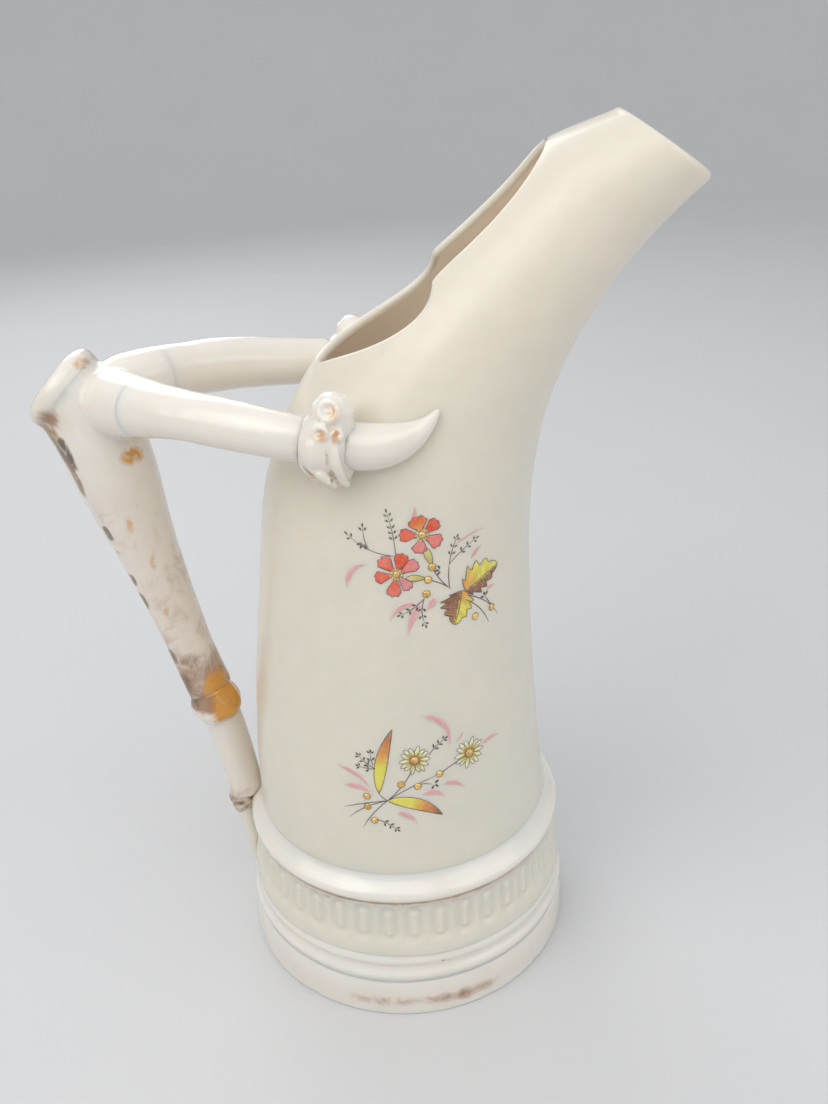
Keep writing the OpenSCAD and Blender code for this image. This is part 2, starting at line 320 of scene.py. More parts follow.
def make(name, verts, faces, mat, nodes, slot, attrs=None, normals=None):
    """A mesh piece from millimetre vertices, riding on the jug and standing for its CAD nodes."""
    me = bpy.data.meshes.new(name)
    me.from_pydata((np.asarray(verts, float) * MM).tolist(), [], faces)
    for key, values in (attrs or {}).items():
        me.attributes.new(key, "FLOAT", "POINT").data.foreach_set("value", np.asarray(values, np.float32))
    if normals is None:
        bm = bmesh.new()
        bm.from_mesh(me)
        bmesh.ops.recalc_face_normals(bm, faces=bm.faces)
        bm.to_mesh(me)
        bm.free()
    me.polygons.foreach_set("use_smooth", np.ones(len(me.polygons), bool))
    if normals is not None:
        me.normals_split_custom_set_from_vertices(normals)
    me.update()
    ob = bpy.data.objects.new(name, me)
    scene.collection.objects.link(ob)
    me.materials.append(mat)
    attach(ob, "root")
    if nodes:
        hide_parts(*nodes)
    return ob


def unit(v):
    """Vectors made one long, row by row."""
    return v / np.linalg.norm(v, axis=-1, keepdims=True)


def grid_faces(rows, cols, loop_rows=False, loop_cols=True, first=0, flip=False):
    """Faces over rows of vertices, numbered row by row; a loop joins the last row or column to the first."""
    faces = []
    for i in range(rows if loop_rows else rows - 1):
        a, b = first + i * cols, first + (i + 1) % rows * cols
        for j in range(cols if loop_cols else cols - 1):
            k = (j + 1) % cols
            faces.append([a + j, a + k, b + k, b + j] if flip else [a + j, b + j, b + k, a + k])
    return faces


def ring_of(ax, side, sides):
    """Angles round an axis and the outward directions there."""
    a = np.linspace(0, 2 * math.pi, sides, endpoint=False)
    return a, np.cos(a)[:, None] * side + np.sin(a)[:, None] * np.cross(ax, side)


def resample(points, step, closed=False):
    """Points evenly spaced along a polyline, about step apart."""
    p = np.asarray(points, float)
    if closed:
        p = np.vstack([p, p[:1]])
    d = np.r_[0, np.cumsum(np.linalg.norm(np.diff(p, axis=0), axis=1))]
    n = max(2, int(round(d[-1] / step)) + 1)
    at = np.linspace(0, d[-1], n)
    out = np.stack([np.interp(at, d, p[:, k]) for k in range(p.shape[1])], 1)
    return out[:-1] if closed else out


def smooth_line(points, steps=8):
    """Catmull-Rom curve through the points."""
    p = np.asarray(points, float)
    p = np.vstack([2 * p[0] - p[1], p, 2 * p[-1] - p[-2]])
    out = []
    t = np.linspace(0, 1, steps, endpoint=False)[:, None]
    for i in range(1, len(p) - 2):
        a, b, c, d = p[i - 1], p[i], p[i + 1], p[i + 2]
        square, cube = 2 * a - 5 * b + 4 * c - d, 3 * b - a - 3 * c + d
        out.append(0.5 * (2 * b + (c - a) * t + square * t**2 + cube * t**3))
    return np.vstack(out + [p[-2][None]])


def bow(start, end, bulge=0.0, n=20):
    """A curve whose middle lies bulge times its length to the left of the straight way."""
    a, b = np.asarray(start, float), np.asarray(end, float)
    t = np.linspace(0, 1, n)[:, None]
    d = b - a
    return a + d * t + np.array([-d[1], d[0]]) * bulge * 4 * t * (1 - t)


# ---------------------------------------------------------------- body shell

BACK_OFF = 1.15         # how far the wall stops short of the rim before its rounded edge
NOTCH_OFF = 0.12        # a little more, in the corner of the notch
CORNER_GAP = 0.75       # points of the edge nearer than this to the notch are left out
LEAD_IN, LEAD_OUT = 8, 6                # how far the two edge curves are drawn on past their ends
EDGE_STEP, ROW_STEP = 0.05, 0.8         # steps along the edge, when searching and when meshing
MOUTH_S = 3.0 - 0.055                   # the last section, before the mouth's rounded edge
COLUMNS = 168


def rim_line():
    """Section, angle and arc length along the opening's edge, from its low end to the notch."""
    t = np.linspace(0, 1, 300)
    low, high = bez(RIM_LOW, t), bez(RIM_HIGH, t)
    low = np.vstack([low[:1] - unit(low[1] - low[0]) * LEAD_IN, low])
    high = np.vstack([high, high[-1:] + unit(high[-1] - high[-2]) * LEAD_OUT])

    def off(c):
        d = unit(np.gradient(c, axis=0))
        return c + BACK_OFF * np.stack([d[:, 1], -d[:, 0]], 1), d

    lo_off, lo_d = off(low)
    hi_off, hi_d = off(high)
    corner = low[-1]
    lo_off = lo_off[np.linalg.norm(low - corner, axis=1) > CORNER_GAP]
    hi_off = hi_off[np.linalg.norm(high - corner, axis=1) > CORNER_GAP]
    along = lo_d[-1] + hi_d[0]
    mid = corner + unit(np.array([along[1], -along[0]])) * (BACK_OFF + NOTCH_OFF)
    runs = []
    for run in (np.vstack([lo_off, mid]), np.vstack([mid, hi_off])):
        run = resample(run, EDGE_STEP)
        s, u = section_at(run, 1.0, 2.6)
        runs.append((run, s, u))
    out = []
    for k, (run, s, u) in enumerate(runs):
        inside = np.where(u > -1)[0]
        a, b = inside[0], inside[-1]
        if k == 0:
            a = max(a - 1, 0)
        else:
            b = min(b + 1, len(u) - 1)
        s, u = s[a:b + 1].copy(), np.clip(u[a:b + 1], -1, 1)
        th = np.arccos(u)
        p = shell(s, th, lumpy=False)
        d = np.r_[0, np.cumsum(np.linalg.norm(np.diff(p, axis=0), axis=1))]
        at = np.linspace(0, d[-1], int(d[-1] / ROW_STEP) + 2)
        out.append((np.interp(at, d, s), np.interp(at, d, th)))
    s = np.r_[out[0][0], out[1][0][1:]]
    th = np.r_[out[0][1], out[1][1][1:]]
    th[0] = th[-1] = math.pi
    s = np.maximum.accumulate(s + np.arange(len(s)) * 1e-7)
    return s, th


def body_shell():
    hole_s, hole_th = rim_line()
    spans = ((-1, 0, 4), (0, 1, 52), (1, hole_s[0], 34))
    before = np.concatenate([np.linspace(a, b, n)[:-1] for a, b, n in spans])
    step_up = np.linspace(hole_s[-1], 2.0, 3)[1:-1] if hole_s[-1] < 1.99 else []
    after = np.r_[step_up, np.linspace(max(hole_s[-1], 2.0) + 0.02, MOUTH_S, 22)]
    s = np.r_[before, hole_s, after]
    th = np.r_[np.full(len(before), math.pi), hole_th, np.full(len(after), math.pi)]
    n_rows, n_cols = len(s), COLUMNS
    i_lo, i_hi = len(before), len(before) + len(hole_s) - 1
    frac = 2 * np.arange(n_cols + 1) / n_cols - 1
    theta = th[:, None] * frac[None, :]
    ss = np.repeat(s[:, None], n_cols + 1, 1)
    verts, faces, maps = [], [], []
    base = 0
    for inset in (0.0, WALL):
        grid = shell(ss, theta, inset)
        index = np.zeros((n_rows, n_cols + 1), int)
        for i in range(n_rows):
            shut = i <= i_lo or i >= i_hi
            count = n_cols if shut else n_cols + 1
            index[i, :count] = base + np.arange(count)
            if shut:
                index[i, n_cols] = base
            verts.append(grid[i, :count])
            base += count
        for i in range(n_rows - 1):
            a, b = index[i], index[i + 1]
            for j in range(n_cols):
                f = [a[j], a[j + 1], b[j + 1], b[j]]
                faces.append(f if inset == 0 else f[::-1])
        maps.append(index)
    outer, inner = maps
    count_wall = base
    flat = np.vstack(verts)

    def bridge(loop_o, loop_i, toward, reach, steps=8):
        """Half-round edge between an outer and an inner loop, bulging towards the given way."""
        nonlocal base, flat
        o, i = flat[loop_o], flat[loop_i]
        run = np.roll(o, -1, 0) - np.roll(o, 1, 0)
        across = i - o
        t = unit(np.cross(run, across))
        t *= np.sign((t * toward).sum(1))[:, None]
        reach = np.broadcast_to(reach, (len(o),))[:, None]
        rows = [np.asarray(loop_o)]
        for k in range(1, steps):
            phi = math.pi * k / steps
            p = (o + i) / 2 + (o - i) / 2 * math.cos(phi) + t * reach * math.sin(phi)
            flat = np.vstack([flat, p])
            rows.append(np.arange(base, base + len(p)))
            base += len(p)
        index = np.concatenate(rows + [np.asarray(loop_i)])
        faces.extend([index[k] for k in f] for f in grid_faces(steps + 1, len(loop_o)))

    ring = [(i, 0) for i in range(i_lo, i_hi + 1)] + [(i, n_cols) for i in range(i_hi - 1, i_lo, -1)]
    loop_o = [outer[r] for r in ring]
    loop_i = [inner[r] for r in ring]
    edge = flat[loop_o]
    flow = np.roll(edge, -1, 0) - np.roll(edge, 1, 0)
    up_left = np.stack([-np.abs(flow[:, 2]) - 0.2, np.zeros(len(edge)), np.abs(flow[:, 0]) + 0.4], 1)
    bridge(loop_o, loop_i, up_left, BACK_OFF)
    f, r = np.array(FRONT[2][3]), np.array(REAR[2][3])
    across = (f - r) / np.linalg.norm(f - r)
    out = np.array([-across[1], 0, across[0]])
    mouth_o, mouth_i = list(outer[-1][:n_cols]), list(inner[-1][:n_cols])
    middle = (flat[mouth_o] + flat[mouth_i]) / 2
    gap = (np.array([f[0], 0, f[1]]) - middle) @ out
    bridge(mouth_o, mouth_i, np.tile(out, (n_cols, 1)), np.maximum(gap, 0.3))
    for j in range(n_cols):
        faces.append([outer[0][j], inner[0][j], inner[0][j + 1], outer[0][j + 1]])
    # mark the inner wall, which the glaze paints paler and warmer as painted light
    inside = np.zeros(len(flat))
    inside[inner.min():count_wall] = 1
    return make("body_shell_glazed", flat, faces, IVORY, ["body_shell"], "ivory_glaze", {"inside": inside})


body_shell()

# ---------------------------------------------------------------- turned pieces of the plinth


def lathe(node, profile, mat, slot, columns, attr, relief=None):
    """A closed ring turned from a closed (r, z) profile; relief(angle, r, z) moves it outwards."""
    prof = np.asarray(profile, float)
    m = len(prof)
    ang = np.linspace(0, 2 * math.pi, columns, endpoint=False)
    r = np.repeat(prof[None, :, 0], columns, 0)
    z = np.repeat(prof[None, :, 1], columns, 0)
    a = np.repeat(ang[:, None], m, 1)
    if relief is not None:
        r = r + relief(a, r, z)
    verts = np.stack([r * np.cos(a), r * np.sin(a), z], -1).reshape(-1, 3)
    attrs = {k: f(a, r, z).ravel() for k, f in attr.items()}
    return make(node + "_glazed", verts, grid_faces(columns, m, loop_rows=True), mat, [node], slot, attrs)


def wave(a, k, phase):
    return np.sin(a * k + phase)


def band(x, centre, width):
    """1 at the centre, falling away like a bell."""
    return np.exp(-(((x - centre) / width) ** 2))


shoulder_line = smooth_line([
    (39.2, 44.6), (39.6, 43.4), (40.2, 42.3), (41.1, 41.3), (42.0, 40.5), (42.75, 39.7), (43.08, 38.9),
    (43.1, 38.2), (42.9, 37.55), (42.6, 37.0), (42.4, 36.4), (42.3, 35.6)], 5)
shoulder_profile = np.vstack([shoulder_line, [(42.2, 35.5), (38.6, 35.5), (38.4, 40.0), (38.6, 44.4)]])
lathe("shoulder_moulding", shoulder_profile, WHITE, "white_glaze", 320, {
    "gilt": lambda a, r, z: band(z, 36.9, 0.55) * (r > 42)
    * (1.2 + 0.12 * wave(a, 5, 0.4) + 0.08 * wave(a, 23, 1.7)),
    "dark": lambda a, r, z: 0.5 + 0.1 * wave(a, 3, 0.2) + 0 * r,
    "stain": lambda a, r, z: 0.6 * band(z, 36.6, 1.1) * (r > 42)})

OVALS, OVAL_W, OVAL_H, OVAL_Z = 40, 4.9, 10.4, 29.35
OVAL_R = 42.6           # radius at which the ovals' widths are measured
OVAL_DEPTH, DROP_HEIGHT, DROP_CROWN = 0.72, 0.56, 0.16
OVAL_EDGE, DROP_EDGE = 0.34, 0.26       # how softly the glaze rounds each edge
OVAL_SHIFT, OVAL_RISE = 0.25, 0.3       # how far an oval may stray sideways and up


def frieze_relief(a, r, z):
    """Sunk ovals, each with a slim raised drop in the middle, softened by the glaze."""
    pitch = 2 * math.pi / OVALS
    k = np.floor(a / pitch)
    h1 = np.sin(k * 12.9898) * 43758.5453
    h2 = np.sin(k * 78.233) * 12543.123
    local = (a - (k + 0.5) * pitch) * OVAL_R + (h1 - np.floor(h1) - 0.5) * OVAL_SHIFT
    dz = z - OVAL_Z - (h2 - np.floor(h2) - 0.5) * OVAL_RISE

    def stadium(w, h):
        return np.hypot(local, np.maximum(np.abs(dz) - (h - w) / 2, 0)) - w / 2

    def step(d, e):
        return 1 / (1 + np.exp(d / e))

    drop = stadium(OVAL_W * 0.44, OVAL_H * 0.72)
    sunk = step(stadium(OVAL_W, OVAL_H), OVAL_EDGE) * OVAL_DEPTH
    raised = step(drop, DROP_EDGE) * DROP_HEIGHT + DROP_CROWN * np.clip(-drop / 1.1, 0, 1)
    on = (r > 41.5) & (z > 20.5) & (z < 35.4)
    return on * (-sunk + raised + 0.05 * np.sin(a * 13 + 0.7) * np.sin(z * 0.5))


frieze_line = smooth_line([
    (43.9, 20.0), (43.55, 22.0), (43.1, 24.3), (42.75, 27), (42.5, 30), (42.38, 33), (42.3, 35.5)], 10)
frieze_profile = np.vstack([frieze_line, [(40.4, 35.5), (40.2, 28), (40.4, 20.0)]])
lathe("frieze_band", frieze_profile, IVORY, "ivory_glaze", 1200, {
    "stain": lambda a, r, z: 0.42 * band(z, 35.2, 0.9)}, frieze_relief)
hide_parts("frieze_ovals")


def arc(cx, cz, r, a0, a1, n):
    t = np.radians(np.linspace(a0, a1, n))
    return np.stack([cx + r * np.cos(t), cz + r * np.sin(t)], 1)


bead_line = np.vstack([
    [(44.25, 11.0)], arc(42.5, 13.3, 2.3, -58, 52, 18), arc(41.9, 17.8, 2.2, -44, 66, 18),
    [(42.9, 19.95), (43.4, 20.0)]])
for _ in range(3):
    bead_line[1:-1] = (bead_line[:-2] + 2 * bead_line[1:-1] + bead_line[2:]) / 4
bead_profile = np.vstack([bead_line, [(40.2, 20.0), (40.0, 15), (40.2, 11.0)]])
lathe("bead_moulding", bead_profile, WHITE, "white_glaze", 320, {
    "stain": lambda a, r, z: 0.30 * band(z, 15.6, 0.5)},
    lambda a, r, z: (0.06 * wave(a, 3, 0.5) + 0.04 * wave(a, 7, 1.1)) * (r > 41))

foot_profile = np.vstack([
    [(37.2, 11.0), (37.2, 7.0), (37.2, 4.0)],
    smooth_line([(37.6, 3.4), (39.2, 1.6), (40.6, 0.25), (41.4, 0.0), (43.0, 0.0), (44.6, 0.0)], 4),
    smooth_line([(44.95, 0.12), (45.15, 0.5), (45.2, 1.1), (45.13, 3.0), (45.02, 5.5), (44.9, 7.6),
                 (44.68, 9.6), (44.35, 10.8), (44.0, 11.0)], 5)])
foot_profile[:, 1] = np.maximum(foot_profile[:, 1], 0)


def rub(a):
    """Where the foot is rubbed: most at the front, in broken patches."""
    front = band(a, 4.8, 0.75) * (0.9 + 0.12 * wave(a, 11, 1.9) + 0.1 * wave(a, 23, 0.4))
    return np.clip(front + 0.2 * np.maximum(wave(a, 5, 0.6), 0), 0, 1)


def foot_gilt(a, r, z):
    """Faint traces of gold at the front of the foot."""
    return (r > 43) * band(z, 3.8, 1.8) * band(a, 4.85, 0.5) * np.clip(wave(a, 17, 1.0) - 0.1, 0, 1) * 0.14


def foot_relief(a, r, z):
    """The foot's slight unevenness and the chips along its lower edge."""
    chips = np.clip(wave(a, 17, 0.3) + wave(a, 29, 1.4) - 1.1, 0, 1)
    return -0.03 + 0.025 * wave(a, 4, 0.5) * (r > 42) - 0.12 * (r > 44) * (z < 1.2) * chips


lathe("foot_ring", foot_profile, WHITE, "white_glaze", 360, {
    "stain": lambda a, r, z: (r > 43) * band(z, 4.6, 3.0) * rub(a) * 0.62,
    "gilt": foot_gilt,
    "dark": lambda a, r, z: 0.5 + 0 * r}, foot_relief)

# inner lining of the plinth and the floor, seen only down through the opening; the glaze paints it paler and
# warmer, as painted light
floor_line = [(0.0, 7.0), (12, 7.0), (24, 7.02), (31, 7.1), (34.5, 7.6), (36.3, 8.9), (37.05, 11.0),
              (37.2, 14.0), (37.2, 35.5), (38.7, 35.5), (38.7, 30.0), (37.4, 4.6), (36.6, 4.05), (24, 4.0),
              (12, 4.0), (0.0, 4.0)]


def turned_dish(name, line, columns, mat, node, slot, attrs):
    """A closed solid turned from a profile that starts and ends on the axis."""
    ang = np.linspace(0, 2 * math.pi, columns, endpoint=False)
    m, last = len(line) - 2, columns * (len(line) - 2) + 1
    wall = [(r * math.cos(a), r * math.sin(a), z) for a in ang for r, z in line[1:-1]]
    v = np.array([(0, 0, line[0][1])] + wall + [(0, 0, line[-1][1])])
    faces = []
    for i in range(columns):
        a, b = 1 + i * m, 1 + ((i + 1) % columns) * m
        faces.append([0, a, b])
        for j in range(m - 1):
            faces.append([a + j, a + j + 1, b + j + 1, b + j])
        faces.append([a + m - 1, last, b + m - 1])
    return make(name, v, faces, mat, [node], slot, {k: f(v) for k, f in attrs.items()})


def floor_edge_brown(v):
    """Brown colouring low round the edge of the floor, where it curves up into the wall."""
    return 0.55 * np.clip((9.5 - v[:, 2]) / 3, 0, 1) * np.clip((np.hypot(v[:, 0], v[:, 1]) - 26) / 10, 0, 1)


turned_dish("body_floor_glazed", floor_line, 160, IVORY, "body_floor", "ivory_glaze", {
    "inside": lambda v: np.ones(len(v)),
    "stain": floor_edge_brown})

# ---------------------------------------------------------------- handle

BRANCH_HIGH = [(-75.5, 0, 160), (-70.2, 0, 155.3), (-67.3, 0, 141.5), (-63.9, 0, 125.6)]
BRANCH_DOWN = [(-63.9, 0, 125.6), (-61.5, 0, 114.4), (-56.5, 0, 92), (-51.4, 0, 75)]
STEM_DOWN = [(-51.4, 0, 75), (-48.9, 0, 66.5), (-46.3, 0, 54), (-45.1, 0, 40)]
KNUCKLE = [(-45.1, 0, 40), (-46.6, 0, 38.6), (-46.9, 0, 36.4), (-46, 0, 33.4)]
TAIL = [(-46, 0, 33.4), (-45.2, 0, 29), (-45, 0, 22), (-43.8, 0, 13.5)]
RIGHT = [(-63, -3, 157), (-52, -14, 158.6), (-36, -27, 160.6), (-15.5, -30.6, 156.4)]
LEFT = [(-63, 3, 158), (-52, 13, 161.4), (-38, 27, 157.4), (-15.5, 30.6, 156)]
HORN = [(-6.5, -31, 155.2), (0.5, -31, 153.6), (9, -31, 155.4), (13, -30, 162)]
COLLAR = [(-15.5, -30.6, 156.2), (-12.5, -30.9, 155.8), (-9.5, -31, 155.4), (-6.5, -31, 155.2)]


def path_points(path, u0, u1, n):
    return bez(path, np.linspace(u0, u1, n))


def rings(n, sides):
    """Faces of a closed skin: n rings of vertices, then one vertex to close each end."""
    faces = grid_faces(n, sides, flip=True)
    for k in range(sides):
        l = (k + 1) % sides
        faces += [[n * sides, l, k], [n * sides + 1, (n - 1) * sides + k, (n - 1) * sides + l]]
    return faces


END_BULGE = 0.25        # how far a tube's end stands out, as a share of its radius


def tube(points, radii, sides, wobble=None):
    """Vertices and faces of a closed tube along points; radii are spread evenly along it."""
    p = np.asarray(points, float)
    n = len(p)
    d = unit(np.gradient(p, axis=0))
    r = np.interp(np.linspace(0, 1, n), np.linspace(0, 1, len(radii)), radii)
    side = np.cross(d, [0, 0, 1.0])
    bad = np.linalg.norm(side, axis=1) < 0.02
    side[bad] = [0, 1, 0]
    side = unit(side)
    up = np.cross(side, d)
    a = np.linspace(0, 2 * math.pi, sides, endpoint=False)
    rr = r[:, None] * np.ones(sides)
    if wobble is not None:
        rr = rr + wobble(np.linspace(0, 1, n)[:, None], a[None, :])
    out = np.cos(a)[None, :, None] * side[:, None, :] + np.sin(a)[None, :, None] * up[:, None, :]
    ring = p[:, None, :] + rr[..., None] * out
    ends = [p[:1] - d[:1] * r[0] * END_BULGE, p[-1:] + d[-1:] * r[-1] * END_BULGE]
    return np.vstack([ring.reshape(-1, 3), *ends]), rings(n, sides)


def turned(profile, at, axis, sides, wobble):
    """Vertices and faces of a solid turned round an axis from (r, h) pairs starting and ending on it."""
    ax = unit(np.asarray(axis, float))
    a, out = ring_of(ax, unit(np.cross(ax, [0, 1.0, 0])), sides)
    rows = [at + ax * h + (r * (1 + wobble(a)))[:, None] * out for r, h in profile[1:-1]]
    ends = [(at + ax * profile[k][1])[None] for k in (0, -1)]
    return np.vstack(rows + ends), rings(len(rows), sides)


def fuse(parts, voxel, rounds):
    """One smooth skin over several overlapping solids, as the glaze leaves it: vertices, faces."""
    bm = bmesh.new()
    for v, f in parts:
        vs = [bm.verts.new(Vector(p) * MM) for p in v]
        for face in f:
            bm.faces.new([vs[i] for i in face])
    bmesh.ops.recalc_face_normals(bm, faces=bm.faces)
    me = bpy.data.meshes.new("fuse")
    bm.to_mesh(me)
    bm.free()
    ob = bpy.data.objects.new("fuse", me)
    scene.collection.objects.link(ob)
    mod = ob.modifiers.new("remesh", "REMESH")
    mod.mode = "VOXEL"
    mod.voxel_size = voxel * MM
    mod.use_smooth_shade = True
    sm = ob.modifiers.new("smooth", "SMOOTH")
    sm.factor = 0.5
    sm.iterations = rounds
    dg = bpy.context.evaluated_depsgraph_get()
    done = bpy.data.meshes.new_from_object(ob.evaluated_get(dg))
    co = np.empty(len(done.vertices) * 3, np.float32)
    done.vertices.foreach_get("co", co)
    verts = co.reshape(-1, 3).astype(float) / MM
    faces = [list(p.vertices) for p in done.polygons]
    bpy.data.objects.remove(ob)
    bpy.data.meshes.remove(me)
    bpy.data.meshes.remove(done)
    return verts, faces


def near_path(p, line):
    """Distance from points p to a polyline, and the place along it from 0 to 1."""
    q = np.asarray(line, float)
    best, where = np.full(len(p), 1e9), np.zeros(len(p))
    for i in range(len(q) - 1):
        a, b = q[i], q[i + 1]
        d = b - a
        t = np.clip(((p - a) @ d) / (d @ d), 0, 1)
        r = np.linalg.norm(p - a - t[:, None] * d, axis=1)
        m = r < best
        best = np.where(m, r, best)
        where = np.where(m, (i + t) / (len(q) - 1), where)
    return best, where


def blob(p, centre, radius):
    """1 at a point, fading to 0 at the radius; radius may be three half axes."""
    return np.clip(1 - np.linalg.norm((p - np.asarray(centre)) / np.asarray(radius, float), axis=1), 0, 1)


def ripple3(p, k, amp, seed):
    """A soft irregular pattern in space."""
    x, y, z = p[:, 0] * k, p[:, 1] * k, p[:, 2] * k
    broad = np.sin(x + 1.7 * y + seed) * np.sin(z * 1.1 - y + 2 * seed)
    return amp * (broad + 0.5 * np.sin(2.1 * x - z * 1.9 + seed * 3) * np.sin(2.3 * y + seed))


def branch_wobble(u, a):
    """Shallow grooves and swellings along the branch."""
    grooves = 0.35 * np.sin(3 * a + 2.2 * u + 0.6) + 0.22 * np.sin(5 * a - 4 * u) * np.sin(9 * u + 1)
    return grooves * np.clip(u * 6, 0, 1)


def split_solid(verts, faces, cuts, seeds):
    """Cuts a skin along planes (centre, normal, radius) and returns {name: (verts, faces, normals)}."""
    bm = bmesh.new()
    vs = [bm.verts.new(p) for p in verts]
    for f in faces:
        bm.faces.new([vs[i] for i in f])
    bm.normal_update()
    for centre, normal, radius in cuts:
        c = Vector(centre)
        geom = [f for f in bm.faces if (f.calc_center_median() - c).length < radius]
        edges = list({e for f in geom for e in f.edges})
        points = list({v for f in geom for v in f.verts})
        cut = bmesh.ops.bisect_plane(bm, geom=points + edges + geom, dist=1e-5, plane_co=c,
                                     plane_no=Vector(normal))
        for g in cut["geom_cut"]:
            if isinstance(g, bmesh.types.BMEdge):
                g.seam = True
    bm.verts.index_update()
    bm.faces.index_update()
    bm.faces.ensure_lookup_table()
    label = [-1] * len(bm.faces)
    groups = []
    for f in bm.faces:
        if label[f.index] >= 0:
            continue
        stack, members = [f], []
        label[f.index] = len(groups)
        while stack:
            g = stack.pop()
            members.append(g)
            for e in g.edges:
                if e.seam:
                    continue
                for h in e.link_faces:
                    if label[h.index] < 0:
                        label[h.index] = len(groups)
                        stack.append(h)
        groups.append(members)
    bm.normal_update()
    named = {}
    for g in sorted(groups, key=len, reverse=True):
        mid = np.mean([f.calc_center_median()[:] for f in g[:: max(1, len(g) // 400)]], axis=0)
        name = min(seeds, key=lambda k: np.linalg.norm(np.asarray(seeds[k]) - mid))
        named.setdefault(name, []).extend(g)
    out = {}
    for name, g in named.items():
        order, index, fl = [], {}, []
        for f in g:
            row = []
            for v in f.verts:
                if v.index not in index:
                    index[v.index] = len(order)
                    order.append(v)
                row.append(index[v.index])
            fl.append(row)
        v = np.array([x.co[:] for x in order])
        n = np.array([x.normal[:] for x in order])
        # close each open rim with a fan to its middle
        seen = {(a, b): 1 for f in fl for a, b in zip(f, f[1:] + f[:1])}
        nxt = {b: a for (a, b) in seen if (b, a) not in seen}
        extra_v, extra_n = [], []
        while nxt:
            start = next(iter(nxt))
            loop, cur = [start], nxt.pop(start)
            while cur != start and cur in nxt:
                loop.append(cur)
                cur = nxt.pop(cur)
            c = len(v) + len(extra_v)
            extra_v.append(v[loop].mean(0))
            extra_n.append(n[loop].mean(0))
            for a, b in zip(loop, loop[1:] + loop[:1]):
                fl.append([a, b, c])
        if extra_v:
            v = np.vstack([v, extra_v])
            n = np.vstack([n, extra_n])
        out[name] = (v, fl, n)
    bm.free()
    return out


BRANCH_R, BRANCH_LOW_R = [9.8, 10.3, 10.6, 10.2, 8.7], [8.7, 7.5, 6.5, 5.9, 5.9]
burr_at, burr_axis = np.array([-75.5, 0, 160]), np.array([-5.3, 0, 4.7])
burr_profile = [(0, -5), (9.0, -5.0), (9.3, -4.0), (9.9, -2.6), (10.4, -1.2), (10.6, 0.2), (10.55, 1.2),
                (10.2, 2.2), (9.4, 3.0), (8.0, 3.5), (5, 3.2), (0, 2.9)]
CUT_AT = 0.24           # place along an arm where it is parted from the branch
ARM_START = -0.12       # the arms begin inside the branch
VOXEL = 0.5


def burr_wobble(a):
    return 0.016 * np.sin(2 * a + 0.6) + 0.018 * np.sin(3 * a + 1.9) + 0.012 * np.sin(7 * a + 0.5)


def arm_wobble(turn, waves):
    """A faint twist along an arm, and a finer ripple."""
    return lambda u, a: 0.16 * np.sin(2 * a + turn * u) + 0.1 * np.sin(waves * u + a)


def spread(values, n):
    """n values interpolated evenly along a short list."""
    return np.interp(np.linspace(0, 1, n), np.linspace(0, 1, len(values)), values)


full_branch = np.vstack([path_points(BRANCH_HIGH, 0.0, 1, 26), path_points(BRANCH_DOWN, 0, 1, 34)[1:]])
radii_full = np.r_[spread(BRANCH_R, 26), spread(BRANCH_LOW_R, 34)[1:]]
parts = [
    tube(full_branch, radii_full, 40, branch_wobble),
    turned(burr_profile, burr_at, burr_axis, 48, burr_wobble),
    tube(path_points(RIGHT, ARM_START, 1, 50), [7.4, 8.3, 7.4, 6.2, 5.5, 5.4, 5.2, 5], 36,
         arm_wobble(5, 11)),
    tube(path_points(LEFT, ARM_START, 1, 50), [7.4, 8.3, 7.5, 6.6, 6.7, 6.5, 6.3, 6], 36,
         arm_wobble(-5, 10)),
]
skin_v, skin_f = fuse(parts, VOXEL, 13)
arm_cuts = [(bez(path, CUT_AT), bez(path, CUT_AT + 0.02) - bez(path, CUT_AT - 0.02), reach)
            for path, reach in ((RIGHT, 9.6), (LEFT, 10.2))]
middles = {"branch_burr": (-77, 0, 161.5), "handle_branch": (-62, 0, 118),
           "right_arm": bez(RIGHT, 0.62), "left_arm": bez(LEFT, 0.62)}
burr_cut = (burr_at - burr_axis / 7.08 * 1.2, burr_axis, 16.0)
handle = split_solid(skin_v, skin_f, [burr_cut] + arm_cuts, middles)


class Gilding:
    """Gilding gathered patch by patch: the strongest patch at a point also gives its darkness."""

    def __init__(self, p, dark):
        self.p, self.gilt, self.dark = p, np.zeros(len(p)), np.full(len(p), dark)

    def add(self, where, amount, darkness):
        m = np.clip(where, 0, 1) * amount
        new = m > self.gilt
        self.gilt[new] = m[new]
        self.dark[new] = darkness

    def blobs(self, table, side=1):
        for (x, y, z), size, amount, darkness in table:
            self.add(blob(self.p, (x, side * y, z), size), amount, darkness)

    def marks(self, stain):
        return {"gilt": np.clip(self.gilt, 0, 1.3), "dark": self.dark, "stain": stain}


